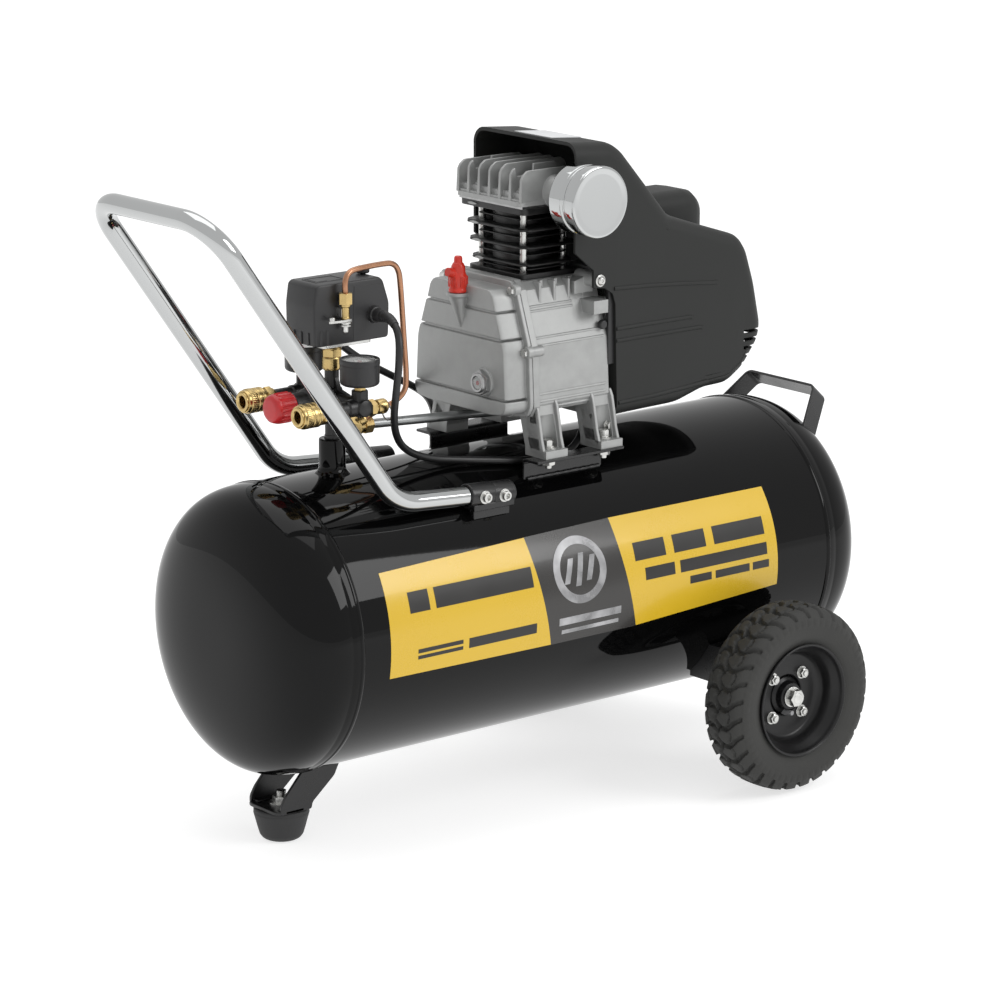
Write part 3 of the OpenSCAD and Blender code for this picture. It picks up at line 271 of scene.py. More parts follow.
def lathe_into(bm, profile, centre, axis, segs=48):
    """A turned form: profile is [distance along the axis, radius]; ends on the axis close to a point."""
    axis, u, w = frame_of(axis)
    centre = Vector(centre)
    rows = []
    for i in range(segs):
        a = TAU * i / segs
        d = u * math.cos(a) + w * math.sin(a)
        rows.append([centre + axis * s + d * r for s, r in profile])
    made = ring_grid(bm, rows)
    for j, (s, r) in enumerate(profile):
        if r == 0:
            bmesh.ops.pointmerge(bm, verts=[row[j] for row in made], merge_co=centre + axis * s)
    return made


def lathe(name, profile, centre, axis, mat, body="frame", segs=48, **kw):
    bm = bmesh.new()
    lathe_into(bm, profile, centre, axis, segs)
    return finish_mesh(name, bm, mat, body, **kw)


def bend(a, p, b, r, steps, reach):
    """A corner at p as a short curve; it takes up to r or a share of either side."""
    a, p, b = Vector(a), Vector(p), Vector(b)
    t = min(r, (a - p).length * reach, (b - p).length * reach)
    if t < 0.02:
        return [tuple(p)]
    s, e = p + (a - p).normalized() * t, p + (b - p).normalized() * t
    return [tuple(s * (1 - f) ** 2 + p * (2 * f * (1 - f)) + e * f * f)
            for f in [k / steps for k in range(steps + 1)]]


def rounded(profile, r, steps=3):
    """An open line of points with its inner corners rounded."""
    out = [profile[0]]
    for a, p, b in zip(profile, profile[1:], profile[2:]):
        out += bend(a, p, b, r, steps, 0.45)
    return out + [profile[-1]]


def hex_into(bm, af, s0, s1, centre, axis, chamfer=0.8, turn=0.0):
    """A hexagon bar with its outer corners turned off at the far end."""
    axis, u, w = frame_of(axis)
    centre = Vector(centre)
    corner = af / math.sqrt(3)
    steps = 24
    rows = []
    for i in range(steps):
        a = TAU * i / steps
        rel = (a + math.pi / 6) % (math.pi / 3) - math.pi / 6
        r = (af / 2) / math.cos(rel) if abs(rel) < 1.0 else af / 2
        d = u * math.cos(a + turn) + w * math.sin(a + turn)
        cut = (r - af / 2) / (corner - af / 2) * chamfer
        rows.append([centre + axis * s0, centre + axis * s0 + d * r, centre + axis * (s1 - cut) + d * r,
                     centre + axis * s1 + d * (af / 2 - 0.25), centre + axis * s1])
    made = ring_grid(bm, rows)
    bmesh.ops.remove_doubles(bm, verts=bm.verts, dist=1e-4)
    return made


def bolt_into(bm, at, axis, af=13, head=7.0, washer=9.0, shank=0.0, washer_t=1.5, turn=0.2):
    """Washer, hexagon head and any thread that shows beyond the head."""
    axis = Vector(axis).normalized()
    at = Vector(at)
    if washer:
        lathe_into(bm,
                   [(0, 0), (0, washer), (washer_t * 0.8, washer), (washer_t, washer - 0.3), (washer_t, 0)],
                   at, axis, 32)
    hex_into(bm, af, washer_t, washer_t + head, at, axis, turn=turn)
    if shank:
        r = af * 0.31
        prof = [(washer_t + head - 0.1, 0)]
        for k in range(int(shank / 0.5)):
            prof.append((washer_t + head + 0.5 * k, r if k % 2 else r - 0.3))
        prof.append((washer_t + head + shank, 0))
        lathe_into(bm, prof, at, axis, 24)


def tube(name, points, r, mat, res, sides):
    """A round tube along a smooth line through points, as a mesh."""
    bm = bmesh.new()
    tube_into(bm, smooth(points, res), r, sides)
    return finish_mesh(name, bm, mat, smooth=50)


def smooth(points, per):
    pts = [Vector(p) for p in points]
    out = []
    for i in range(len(pts) - 1):
        a, b = pts[max(i - 1, 0)], pts[i]
        c, d = pts[i + 1], pts[min(i + 2, len(pts) - 1)]
        for k in range(per):
            t = k / per
            out.append(0.5 * (2 * b + (c - a) * t + (2 * a - 5 * b + 4 * c - d) * t * t
                              + (3 * b - a - 3 * c + d) * t ** 3))
    out.append(pts[-1])
    return out


def tube_into(bm, line, r, sides, radii=None):
    n = len(line)
    last = None
    rings = []
    for i, p in enumerate(line):
        t = (line[min(i + 1, n - 1)] - line[max(i - 1, 0)]).normalized()
        if last is None:
            last = Vector((0, 0, 1)) if abs(t.z) < 0.9 else Vector((1, 0, 0))
        s = (last - t * last.dot(t)).normalized()
        w = t.cross(s)
        last = s
        rr = radii[i] if radii else r
        rings.append([p + (s * math.cos(TAU * k / sides) + w * math.sin(TAU * k / sides)) * rr
                      for k in range(sides)])
    made = ring_grid(bm, rings, closed_u=False, closed_v=True)
    bm.faces.new(list(reversed(made[0])))
    bm.faces.new(made[-1])


def prism_into(bm, outline, lo, hi, axis):
    """An outline pushed along an axis: outline points are the other two coordinates in order."""
    def at(p, h):
        return {"x": (h, p[0], p[1]), "y": (p[0], h, p[1]), "z": (p[0], p[1], h)}[axis]
    loft(bm, [[at(p, lo) for p in outline], [at(p, hi) for p in outline]])


def box_into(bm, x, y, z):
    prism_into(bm, [(x[0], y[0]), (x[1], y[0]), (x[1], y[1]), (x[0], y[1])], z[0], z[1], "z")


def side_prism(bm, outline, side, near, far):
    """An (x, z) outline between two distances from the middle plane, on one side of it."""
    lo, hi = sorted((side * near, side * far))
    prism_into(bm, outline, lo, hi, "y")


def arc(cx, cy, r, a0, a1, n=6):
    return [(cx + r * math.cos(math.radians(a0 + (a1 - a0) * i / n)),
             cy + r * math.sin(math.radians(a0 + (a1 - a0) * i / n))) for i in range(n + 1)]


def paint(node, mat):
    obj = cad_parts[node]
    obj.data.materials.clear()
    obj.data.materials.append(mat)


# ------------------------------------------------------------------ camera, floor and light

CAM_AT, CAM_LENS = (-2712.2, -3225.0, 1358.2), 144.8
CAM_AZ, CAM_EL, CAM_ROLL = math.radians(-39.85), math.radians(13.90), math.radians(0.217)
FLOOR_GLOW, WORLD_GLOW = 0.68, 0.80


def make_camera():
    back = Vector((math.sin(CAM_AZ) * math.cos(CAM_EL), -math.cos(CAM_AZ) * math.cos(CAM_EL),
                   math.sin(CAM_EL)))
    right = Vector((math.cos(CAM_AZ), math.sin(CAM_AZ), 0))
    up = back.cross(right)
    c, s = math.cos(CAM_ROLL), math.sin(CAM_ROLL)
    right, up = right * c + up * s, up * c - right * s
    turn = Matrix((right, up, back)).transposed().to_4x4()
    data = bpy.data.cameras.new("camera")
    data.lens = CAM_LENS
    data.sensor_width = 36
    data.clip_start, data.clip_end = 0.1, 100
    cam = bpy.data.objects.new("camera", data)
    cam.matrix_world = Matrix.Translation(mm(*CAM_AT)) @ turn
    bpy.context.collection.objects.link(cam)
    bpy.context.scene.camera = cam


def make_stage():
    bm = bmesh.new()
    bmesh.ops.create_grid(bm, x_segments=2, y_segments=2, size=14)
    floor = object_from("floor", bm)
    mat, tree, bsdf = nodes_of("floor_paper")
    coords = put(tree, "ShaderNodeTexCoord").outputs["Object"]
    mix = put(tree, "ShaderNodeMix", data_type="RGBA")
    mix.inputs["A"].default_value = (0.50, 0.50, 0.50, 1)
    mix.inputs["B"].default_value = (0.53, 0.53, 0.53, 1)
    tree.links.new(noise_at(tree, coords, 3.0), mix.inputs["Factor"])
    tree.links.new(mix.outputs["Result"], bsdf.inputs["Base Color"])
    bsdf.inputs["Roughness"].default_value = 0.9
    bsdf.inputs["Specular IOR Level"].default_value = 0.0
    bsdf.inputs["Emission Color"].default_value = (1.0, 1.0, 1.0, 1)
    bsdf.inputs["Emission Strength"].default_value = FLOOR_GLOW
    floor.data.materials.append(mat)
    world = bpy.data.worlds.new("world")
    world.use_nodes = True
    bpy.context.scene.world = world
    back = world.node_tree.nodes["Background"]
    back.inputs["Color"].default_value = (1.0, 1.0, 1.0, 1)
    back.inputs["Strength"].default_value = WORLD_GLOW


def area_light(name, at, to, size, power):
    data = bpy.data.lights.new(name, "AREA")
    data.energy = power
    data.size = size
    obj = bpy.data.objects.new(name, data)
    bpy.context.collection.objects.link(obj)
    obj.location = at
    obj.rotation_euler = (Vector(to) - Vector(at)).to_track_quat("-Z", "Y").to_euler()


make_camera()
bpy.context.scene.view_settings.view_transform = "Standard"
make_stage()
area_light("key", (1.5, -2.6, 2.2), (0, 0, 0.4), 1.6, 42)
area_light("top", (0.3, 0.4, 3.0), (0, 0, 0.3), 2.4, 22)

# ------------------------------------------------------------------ leads

CORD_R = 4.0
LEAD_ROUTE = [(-211, -38.5, 550), (-211, -48.5, 549.5), (-212, -57.5, 546.5), (-213.5, -65.5, 541),
              (-215.5, -71.5, 533), (-217.5, -75, 523.5), (-219, -76.5, 512.5), (-219.5, -76, 499.5),
              (-219, -73, 485), (-217.5, -68.5, 469), (-214, -62, 452), (-208, -55, 436),
              (-199, -48.5, 421.5), (-187, -43, 409.5), (-171, -40, 399.5), (-150, -39, 391.5),
              (-126, -40, 386.5), (-100, -45, 383), (-74, -51, 380), (-48, -57, 377), (-20, -62, 375),
              (4, -64, 375.5), (25, -62, 379.5), (41, -57, 387.5), (53, -51, 399), (61, -47, 410),
              (66, -46, 417)]
FLOOR_Z = 4.2
CORD_ROUTE = [(-211, 38.5, 550), (-211, 48.5, 549.5), (-210, 58, 546.5), (-207.5, 66.5, 540.5),
              (-203, 73, 532), (-196.5, 77.5, 521.5), (-187, 79.5, 509.5), (-173.5, 79, 496),
              (-157, 76.5, 483), (-138, 74, 470.5), (-117, 73.5, 459), (-97, 75, 448.5), (-79, 79.5, 439.5),
              (-62, 86.5, 430.5), (-45, 95.5, 420), (-30, 105, 406), (-19, 113.5, 388), (-13, 122, 366),
              (-10, 132, 338), (-10, 144.5, 302), (-10, 155, 260), (-10, 160, 210), (-10, 161, 150),
              (-10, 162, 100), (-10, 164.5, 66), (-10, 172, 37), (-10, 187, 15), (-10, 207, 6),
              (-10, 228, FLOOR_Z), (-10, 247, FLOOR_Z), (-10, 267, FLOOR_Z), (-10, 285, FLOOR_Z)]
COIL_AT, COIL_R = (41.2, 296.0), 47.2
PLUG_AT = Vector((90.4, 300.0, 28.3))


def step_between(t, a, b):
    u = min(max((t - a) / (b - a), 0.0), 1.0)
    return u * u * (3 - 2 * u)


def coil_line():
    """Clockwise turns: outer and inner on the floor, inner and outer on top, then up to the plug."""
    out = []
    per = 36
    for k in range(int(3.25 * per) + 1):
        t = k / per
        r = COIL_R + CORD_R - 2 * CORD_R * (step_between(t, 0.76, 0.93) - step_between(t, 2.42, 2.6))
        z = FLOOR_Z + 2 * CORD_R * step_between(t, 1.56, 1.8)
        a = math.pi - TAU * t
        out.append(Vector((COIL_AT[0] + r * math.cos(a), COIL_AT[1] + r * math.sin(a), z)))
    top = out[-1]
    for k in range(1, 19):
        a = math.pi / 2 * (1 - k / 18)
        out.append(Vector((top.x + (PLUG_AT.x - top.x) * math.cos(a),
                           PLUG_AT.y + (top.y - PLUG_AT.y) * math.sin(a),
                           top.z + (PLUG_AT.z - top.z) * step_between(k / 18, 0, 1))))
    return out


RELIEF_R0, RELIEF_R1, RELIEF_REACH = 6.3, 4.5, 24.0


def relief(name, line, mat):
    """A tapered sleeve with shallow rings round the first stretch of a lead."""
    part, gone = [line[0]], 0.0
    for a, b in zip(line, line[1:]):
        gone += (b - a).length
        part.append(b)
        if gone > RELIEF_REACH:
            break
    part = smooth(part, 3)
    n = len(part) - 1
    radii = [RELIEF_R0 + (RELIEF_R1 - RELIEF_R0) * i / n - (0.35 if 3 < i < n - 2 and (i // 2) % 2 else 0)
             for i in range(n + 1)]
    bm = bmesh.new()
    tube_into(bm, part, RELIEF_R0, 24, radii)
    return finish_mesh(name, bm, mat, smooth=40)


def make_lead(name, line, replaced):
    bm = bmesh.new()
    tube_into(bm, line, CORD_R - 0.05, 20)
    obj = piece(name, bm, LEAD, "lead_rubber", *replaced, smooth=60)
    return obj


def make_plug():
    x, y, z = PLUG_AT
    bm = bmesh.new()
    # Body: rounded sections along -Y, wide at the face and narrow where the lead enters
    sections = [(0.0, 5.2, 5.2), (-3, 6.4, 6.4), (-7, 8.6, 8.0), (-11, 11.5, 9.6), (-15, 14.2, 11.0),
                (-19, 15.4, 11.7), (-25, 15.6, 11.8), (-27.3, 15.6, 11.8), (-28, 14.9, 11.1)]
    rows = []
    for dy, hx, hz in sections:
        row = []
        for k in range(40):
            a = TAU * k / 40
            c, s = math.cos(a), math.sin(a)
            e = 2 / 3.2
            row.append((x + hx * math.copysign(abs(c) ** e, c), y + dy,
                        z + hz * math.copysign(abs(s) ** e, s)))
        rows.append(row)
    loft(bm, rows)
    plug = piece("plug_body", bm, LEAD, "lead_rubber", "mains_plug", smooth=35, bevel=0.4)
    bm = bmesh.new()
    for dx in (-5.9, 5.9):
        outline = [(x + dx - 0.75, y - 28), (x + dx - 0.75, y - 43.5), (x + dx - 0.3, y - 45),
                   (x + dx + 0.3, y - 45), (x + dx + 0.75, y - 43.5), (x + dx + 0.75, y - 28)]
        prism_into(bm, outline, z - 6.6, z - 0.2, "z")
    lathe_into(bm, rounded([(0, 0), (0, 2.4), (16.5, 2.4), (18, 1.2), (18, 0)], 0.8), (x, y - 28, z + 5.5),
               (0, -1, 0), 24)
    pins = piece("plug_pins", bm, BRASS, "brass", smooth=35, bevel=0.2)
    ribs = bmesh.new()
    for k in range(5):
        lathe_into(ribs, [(0, 0), (0, 6.2 - 0.3 * k), (1.4, 6.2 - 0.3 * k), (1.4, 0)],
                   (x, y + 0.6 + 2.6 * k, z + 0.0), (0, 1, 0), 24)
    collar = finish_mesh("plug_relief", ribs, LEAD, smooth=35)
    return [plug, pins, collar]


def make_leads():
    lead = smooth(LEAD_ROUTE, 4)
    near = relief("lead_relief", lead, PLASTIC)
    make_lead("motor_cable", lead, ["motor_lead"])
    down = smooth(CORD_ROUTE, 4)
    line = down + coil_line()
    far = relief("cord_relief", down, PLASTIC)
    plug = make_plug()
    make_lead("mains_cable", line, ["power_cord", "cord_coil"])


make_leads()

# ------------------------------------------------------------------ tank

TANK_R, TANK_Z, SHELL_END, HEAD_DEPTH = 152.5, 231.0, 326.5, 78.0


def head_profile():
    out = []
    for i in range(1, 41):
        s = HEAD_DEPTH * math.sin(math.pi / 2 * i / 40)
        r = TANK_R * (1 - (s / HEAD_DEPTH) ** 3) ** (1 / 3) if i < 40 else 0
        if s > 13:
            out.append((SHELL_END + s, r))
    return out


def make_tank():
    seam = [(SHELL_END - 3.5, TANK_R), (SHELL_END - 2.4, TANK_R + 0.9), (SHELL_END - 0.6, TANK_R + 1.4),
            (SHELL_END + 1.2, TANK_R + 1.3), (SHELL_END + 2.4, TANK_R + 0.5),
            (SHELL_END + 3.6, TANK_R + 0.35),
            (SHELL_END + 9.0, TANK_R + 0.3), (SHELL_END + 10.6, TANK_R - 0.35),
            (SHELL_END + 12, TANK_R - 0.3)]
    half = [(x, TANK_R) for x in (0, 80, 160, 240, 300)] + seam + head_profile()
    profile = [(-x, r) for x, r in reversed(half[1:])] + half
    tank = lathe("tank_skin", profile, (0, 0, TANK_Z), (1, 0, 0), GLOSS, segs=256, smooth=25)
    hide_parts("tank_shell", "tank_heads")
    top = TANK_Z + TANK_R
    riser = lathe("riser_boss", rounded([(-6, 23), (-1.5, 20), (2, 16.2), (5, 14.4), (8, 14), (36, 14),
                                         (37, 13), (37, 8.2), (30, 8)], 1.2),
                  (-247, 0, top), (0, 0, 1), GLOSS, segs=64, smooth=35)


def skin_piece(name, grid, mat, lift=0.25):
    """A thin sheet on the tank's skin from a grid of (x, angle above -Y in degrees)."""
    bm = bmesh.new()
    rows = []
    for line in grid:
        row = []
        for x, deg in line:
            a = math.radians(deg)
            r = TANK_R + lift
            row.append((x, -r * math.cos(a), TANK_Z + r * math.sin(a)))
        rows.append(row)
    ring_grid(bm, rows, closed_u=False)
    # The sheet's edge turns down to the skin
    rim = [e for e in bm.edges if e.is_boundary]
    made = bmesh.ops.extrude_edge_only(bm, edges=rim)
    for v in [g for g in made["geom"] if isinstance(g, bmesh.types.BMVert)]:
        out = Vector((0, v.co.y, v.co.z - TANK_Z)).normalized()
        v.co -= out * (lift + 0.15)
    return finish_mesh(name, bm, mat, smooth=30)


def panel(name, left, right, low, high, mat, lift, nx=24, na=16):
    """left and right give x at an angle; low and high give the angle at a fraction along."""
    grid = []
    for j in range(na + 1):
        row = []
        for i in range(nx + 1):
            f = i / nx
            deg = low(f) + (high(f) - low(f)) * j / na
            row.append((left(deg) + (right(deg) - left(deg)) * f, deg))
        grid.append(row)
    return skin_piece(name, grid, mat, lift)


def make_label():
    def dark_left(deg):
        t = max(34 - deg, 0) / 46
        return -95 + 20 * t ** 1.6

    def dark_right(deg):
        t = max(34 - deg, 0) / 46
        return 23 + 21 * t ** 1.8

    panel("label_left", lambda d: -289.5 - 0.8 * math.cos(math.radians(d * 3)), dark_left,
          lambda f: -10.8 - 0.9 * f, lambda f: 30.8 + 2.3 * f, YELLOW, 0.25)
    panel("label_right", dark_right, lambda d: 245.5 + 3 * math.cos(math.radians(d * 2.2)),
          lambda f: -11.6 + 4.2 * f, lambda f: 34.2, YELLOW, 0.25)
    panel("label_centre", dark_left, dark_right, lambda f: -11.8, lambda f: 33.2 + f, DARK, 0.25)

    def bar(name, x0, x1, a0, a1, mat):
        panel(name, lambda d: x0, lambda d: x1, lambda f: a0, lambda f: a1, mat, 0.45, nx=10, na=4)

    # Plain blocks stand where the lettering was
    for k, (x0, x1) in enumerate([(-262, -236), (-228, -98)]):
        bar(f"label_bar_a{k}", x0, x1, 13.2, 21.4, INK)
    for k, (x0, x1, a0, a1) in enumerate([(-255, -196, -2.8, -1.2), (-255, -196, -5.2, -3.8),
                                          (-188, -97, -5.2, -1.2)]):
        bar(f"label_bar_b{k}", x0, x1, a0, a1, INK)
    for k, (x0, x1, a0,
            a1) in enumerate([(44, 88, 14.8, 22.2), (100, 146, 14.8, 22.2), (158, 232, 14.8, 22.2),
                                          (56, 98, 6.4, 11.4), (106, 233, 6.4, 11.4),
                                          (119, 150, 1.0, 4.2), (156, 206, 1.0, 4.2), (211, 235, 1.0, 4.2)]):
        bar(f"label_bar_c{k}", x0, x1, a0, a1, INK)
    # A plain ring with three slanting strokes
    grid = []
    for r in (27.0, 30.0, 33.0, 36.0):
        grid.append([(-33 + r * math.cos(TAU * k / 72),
                      16.4 + math.degrees(r * math.sin(TAU * k / 72) / TANK_R))
                     for k in range(73)])
    skin_piece("label_ring", grid, SILVER, 0.5)
    for k in range(3):
        x = -33 + (k - 1) * 15
        reach = 17 if k == 1 else 13
        grid = []
        for j in range(7):
            t = (j / 6 - 0.5) * 2
            a = 16.4 + math.degrees(t * reach / TANK_R)
            grid.append([(x - 3.6 + 5 * t, a), (x + 3.6 + 5 * t, a)])
        skin_piece(f"label_stroke{k}", grid, SILVER, 0.5)
    bar("label_bar_d", -66, 20, -4.6, -1.6, SILVER)
    bar("label_bar_e", -62, 17, -8.2, -6.6, SILVER)


make_tank()
make_label()

# ------------------------------------------------------------------ wheels

WHEEL_X, WHEEL_Z = 209.0, 105.8
FACE_Y, INNER_Y, RIM_R = 241.0, 181.0, 61.3


def tyre_outline():
    """Half section of the tyre as (distance from the mid plane of the tyre, radius), bead to bead."""
    half = (FACE_Y - INNER_Y) / 2
    out = [(half - 6.5, RIM_R), (half - 5.2, RIM_R + 3.5), (half - 3.2, RIM_R + 8), (half - 1.4, RIM_R + 14),
           (half - 0.6, RIM_R + 20), (half - 0.9, RIM_R + 26), (half - 2.6, RIM_R + 31),
           (half - 5.2, RIM_R + 35.4), (half - 8.6, RIM_R + 38.6), (half - 14, RIM_R + 40.6),
           (half - 21, RIM_R + 41.4), (0, RIM_R + 41.7)]
    line = smooth([(a, b, 0) for a, b in out], 4)
    pts = [(p.x, p.y) for p in line]
    return pts + [(-a, r) for a, r in reversed(pts[:-1])]


def make_tyre(name, side, body, replaced):
    mid = side * (FACE_Y + INNER_Y) / 2
    outline = tyre_outline()
    half = (FACE_Y - INNER_Y) / 2
    steps = 480
    lugs = 30
    bm = bmesh.new()
    rows = []
    for i in range(steps):
        a = TAU * i / steps
        row = []
        for y, r in outline:
            out = r - RIM_R
            tread = min(max((out - 30.5) / 2.5, 0.0), 1.0)
            # Wavy cross grooves in two staggered halves, a wavy middle groove and shoulder notches
            turn = a * lugs / TAU
            u = (turn + 0.30 * math.sin(math.pi * y / half * 1.5) + (0.5 if y > 0 else 0)) % 1.0
            gap = abs(u - 0.5) * 2
            lug = min(max((gap - 0.20) / 0.09, 0.0), 1.0)
            mid_line = 2.6 * math.sin(TAU * turn)
            seam = min(max((abs(y - mid_line) - 1.1) / 0.9, 0.0), 1.0)
            side_line = min(max((abs(abs(y) - 15.5 - 1.6 * math.sin(TAU * turn + 1.0)) - 0.7) / 0.7, 0.0),
                            1.0)
            depth = 4.6 * tread * (1 - lug * min(seam, 1.0) * (0.55 + 0.45 * side_line))
            # Short pads down the shoulder
            pad_u = (a * lugs * 2 / TAU + 0.1) % 1.0
            pad = 1 if abs(pad_u - 0.5) < 0.34 else 0
            shoulder = 1.5 * pad if 22 < out <= 30.5 else 0.0
            ring = 0.0
            for at in (10.0, 14.5, 19.5):
                ring += 0.55 * math.exp(-((out - at) / 0.7) ** 2)
            rr = r - depth
            yy = y
            if 8 < out < 31 and abs(y) > half - 12:
                yy = y + math.copysign(shoulder * 0.55 + ring - 0.2, y)
            row.append((WHEEL_X + rr * math.cos(a), mid + yy, WHEEL_Z + rr * math.sin(a)))
        rows.append(row)
    made = ring_grid(bm, rows)
    # Close the bead side against the rim
    for i in range(steps):
        bm.faces.new([made[i][0], made[(i + 1) % steps][0], made[(i + 1) % steps][-1], made[i][-1]])
    piece(name, bm, TYRE, "tyre_rubber", replaced, body=body, smooth=42)


def rim_profile():
    """Turned section of the pressed rim, outside first: (distance from the middle plane, radius)."""
    return rounded([(INNER_Y + 3, RIM_R - 3), (INNER_Y + 2.2, RIM_R + 0.6), (INNER_Y + 4.5, RIM_R + 1),
                    (INNER_Y + 9, RIM_R - 0.6), (FACE_Y - 9, RIM_R - 0.6), (FACE_Y - 4.5, RIM_R + 1),
                    (FACE_Y - 2.4, RIM_R + 1.2), (FACE_Y - 1.6, RIM_R - 0.4), (FACE_Y - 3.2, RIM_R - 2.2),
                    (FACE_Y - 7, RIM_R - 3.6), (FACE_Y - 11, 55), (FACE_Y - 15, 52.2), (FACE_Y - 19, 50.6),
                    (FACE_Y - 24, 49.4), (FACE_Y - 28.5, 46.0), (211.2, 41.5), (211.0, 38), (211.0, 23.5),
                    (209.8, 22), (207.2, 21.4), (206.8, 22.5), (207, 41), (206.5, 45), (FACE_Y - 31, 50),
                    (INNER_Y + 12, 52.5), (INNER_Y + 6, 55.5), (INNER_Y + 4, 58)], 1.6, 3)


def make_rim(name, side, body, replaced):
    centre = (WHEEL_X, 0, WHEEL_Z)
    axis = (0, side, 0)
    bm = bmesh.new()
    rows_profile = rim_profile()
    made = lathe_into(bm, rows_profile, centre, axis, 128)
    for i in range(len(made)):
        nxt = made[(i + 1) % len(made)]
        bm.faces.new([made[i][0], nxt[0], nxt[-1], made[i][-1]])
    # Inner hub drum seen through the middle hole, and its tube
    lathe_into(bm,
               rounded([(184, 8.3), (184, 19), (203, 19), (206.9, 23), (206.9, 30), (204.5, 31), (204.5, 45)],
                           0.8), centre, axis, 64)
    lathe_into(bm, rounded([(204, 21), (209, 20), (211.5, 16), (217.5, 15.2), (219, 14.4), (219, 8.3)], 0.8),
               centre, axis, 64)
    piece(name, bm, RIM, "black_paint", replaced, body=body)
    bm = bmesh.new()
    for k in range(4):
        a = math.radians(45 + 90 * k)
        at = (WHEEL_X + 30.8 * math.cos(a), side * 211.0, WHEEL_Z + 30.8 * math.sin(a))
        bolt_into(bm, at, axis, af=10, head=5.2, washer=7.2, shank=2.0, turn=0.35 + k)
    piece(name + "_bolts", bm, ZINC, "zinc", body=body)
    bm = bmesh.new()
    stem = rounded([(207, 4.6), (210, 4.4), (213, 3.6), (215, 3.4), (220, 2.6), (221, 2.6), (221, 0)], 0.5)
    lathe_into(bm, [(207, 0)] + stem, (WHEEL_X, 0, WHEEL_Z - 18.5), axis, 24)
    piece(name + "_valve", bm, SILVER, "zinc", body=body)


def make_axles():
    bm = bmesh.new()
    for side in (-1, 1):
        axis = (0, side, 0)
        lathe_into(bm, rounded([(168.5, 0), (168.5, 8), (219.3, 8), (219.3, 11.4), (220.9, 11.4), (221.2, 11),
                                (221.2, 0)], 0.4), (WHEEL_X, 0, WHEEL_Z), axis, 40)
        hex_into(bm, 17, 221.0, 229.6, (WHEEL_X, 0, WHEEL_Z), axis, turn=0.5)
        lathe_into(bm, [(229, 0), (229, 6.0), (229.9, 5.6), (229.9, 0)], (WHEEL_X, 0, WHEEL_Z), axis, 32)
        hex_into(bm, 22, -169, -159.4, (WHEEL_X, 0, WHEEL_Z), (0, -side, 0), turn=0.1)
    piece("axle_hardware", bm, ZINC, "zinc", "axle_bolts")


make_tyre("near_tread", -1, "near_wheel", "near_tyre")
make_tyre("far_tread", 1, "far_wheel", "far_tyre")
make_rim("near_disc", -1, "near_wheel", "near_rim")
make_rim("far_disc", 1, "far_wheel", "far_rim")
make_axles()

# ------------------------------------------------------------------ handles

HANDLE_R = 10.5
END_AT, DIP, LOW_RUN = (-100.0, 101.5, 359.0), math.radians(4), 118.0
LOW_R, LOW_TURN, LEG, TOP_R = 57.0, math.radians(50), 359.0, 45.0


def handle_line():
    """Centre line of the tow handle from the near end round to the far end."""
    x, z = END_AT[0], END_AT[2]
    head = math.pi - DIP
    pts = [(x, z)]
    x, z = x + LOW_RUN * math.cos(head), z + LOW_RUN * math.sin(head)
    cx, cz = x + LOW_R * math.cos(head - math.pi / 2), z + LOW_R * math.sin(head - math.pi / 2)
    for k in range(13):
        a = head + math.pi / 2 - LOW_TURN * k / 12
        pts.append((cx + LOW_R * math.cos(a), cz + LOW_R * math.sin(a)))
    head -= LOW_TURN
    x, z = pts[-1]
    run = LEG - TOP_R
    foot = Vector((x, -END_AT[1], z))
    slope = Vector((math.cos(head), 0, math.sin(head)))
    line = [Vector((p[0], -END_AT[1], p[1])) for p in pts]
    for k in range(1, 9):
        line.append(foot + slope * run * k / 8)
    turn_at = foot + slope * run + Vector((0, TOP_R, 0))
    for k in range(1, 17):
        a = math.pi / 2 * k / 16
        line.append(turn_at + slope * TOP_R * math.sin(a) - Vector((0, TOP_R * math.cos(a), 0)))
    mirrored = [Vector((p.x, -p.y, p.z)) for p in reversed(line)]
    return line + mirrored


def make_handle():
    bm = bmesh.new()
    tube_into(bm, handle_line(), HANDLE_R, 48)
    piece("handle_tube", bm, CHROME, "chrome", "tow_handle", smooth=40)


def make_clamps():
    dip = Vector((-math.cos(DIP), 0, math.sin(DIP)))
    black = bmesh.new()
    zinc = bmesh.new()
    for side in (-1, 1):
        end = Vector((END_AT[0], side * END_AT[1], END_AT[2]))
        lathe_into(black,
                   rounded([(-8, 0), (-8, 11.5), (-6, 13), (18, 13), (19, 12.6), (21, 12.6), (22, 13),
                            (51, 13),
                                   (52, 12.2), (52, 10.6), (40, 10.4)], 0.9), end, dip, 64)
        # Ear under the sleeve, closed by the screws, and the welded block
        lo, hi = sorted((side * 89.5, side * 108.5))
        box_into(black, (-146, -98), (lo, hi), (334, 354))
        lo, hi = sorted((side * 105.5, side * 113.0))
        box_into(black, (-149, -95), (lo, hi), (347, 354))
        for along in (10.0, 36.0):
            at = end + dip * along
            at.y = side * (END_AT[1] + 13 - 0.6)
            out = (0, side, 0)
            lathe_into(zinc,
                       rounded([(0, 0), (0, 7.0), (1.4, 7.0), (1.5, 5.0), (6.4, 5.0), (6.5, 4.4), (6.5, 2.9),
                                      (3.6, 2.7), (3.6, 0)], 0.35), at, out, 40)
    piece("clamp_sleeves", black, SATIN, "black_paint", "handle_clamps", bevel=0.8, bevel_angle=50)
    piece("clamp_screws", zinc, ZINC, "zinc")


make_handle()
make_clamps()

# ------------------------------------------------------------------ motor shroud

SHROUD_Y, SHROUD_EDGE = 84.0, 16.0
LUG = (46.0, 563.0)


def rib(bm, points, y, r=0.9):
    """A low half-round bead along a line of (x, z) points on a flat side."""
    line = [Vector((p[0], y, p[1])) for p in points]
    tube_into(bm, line, r, 10)


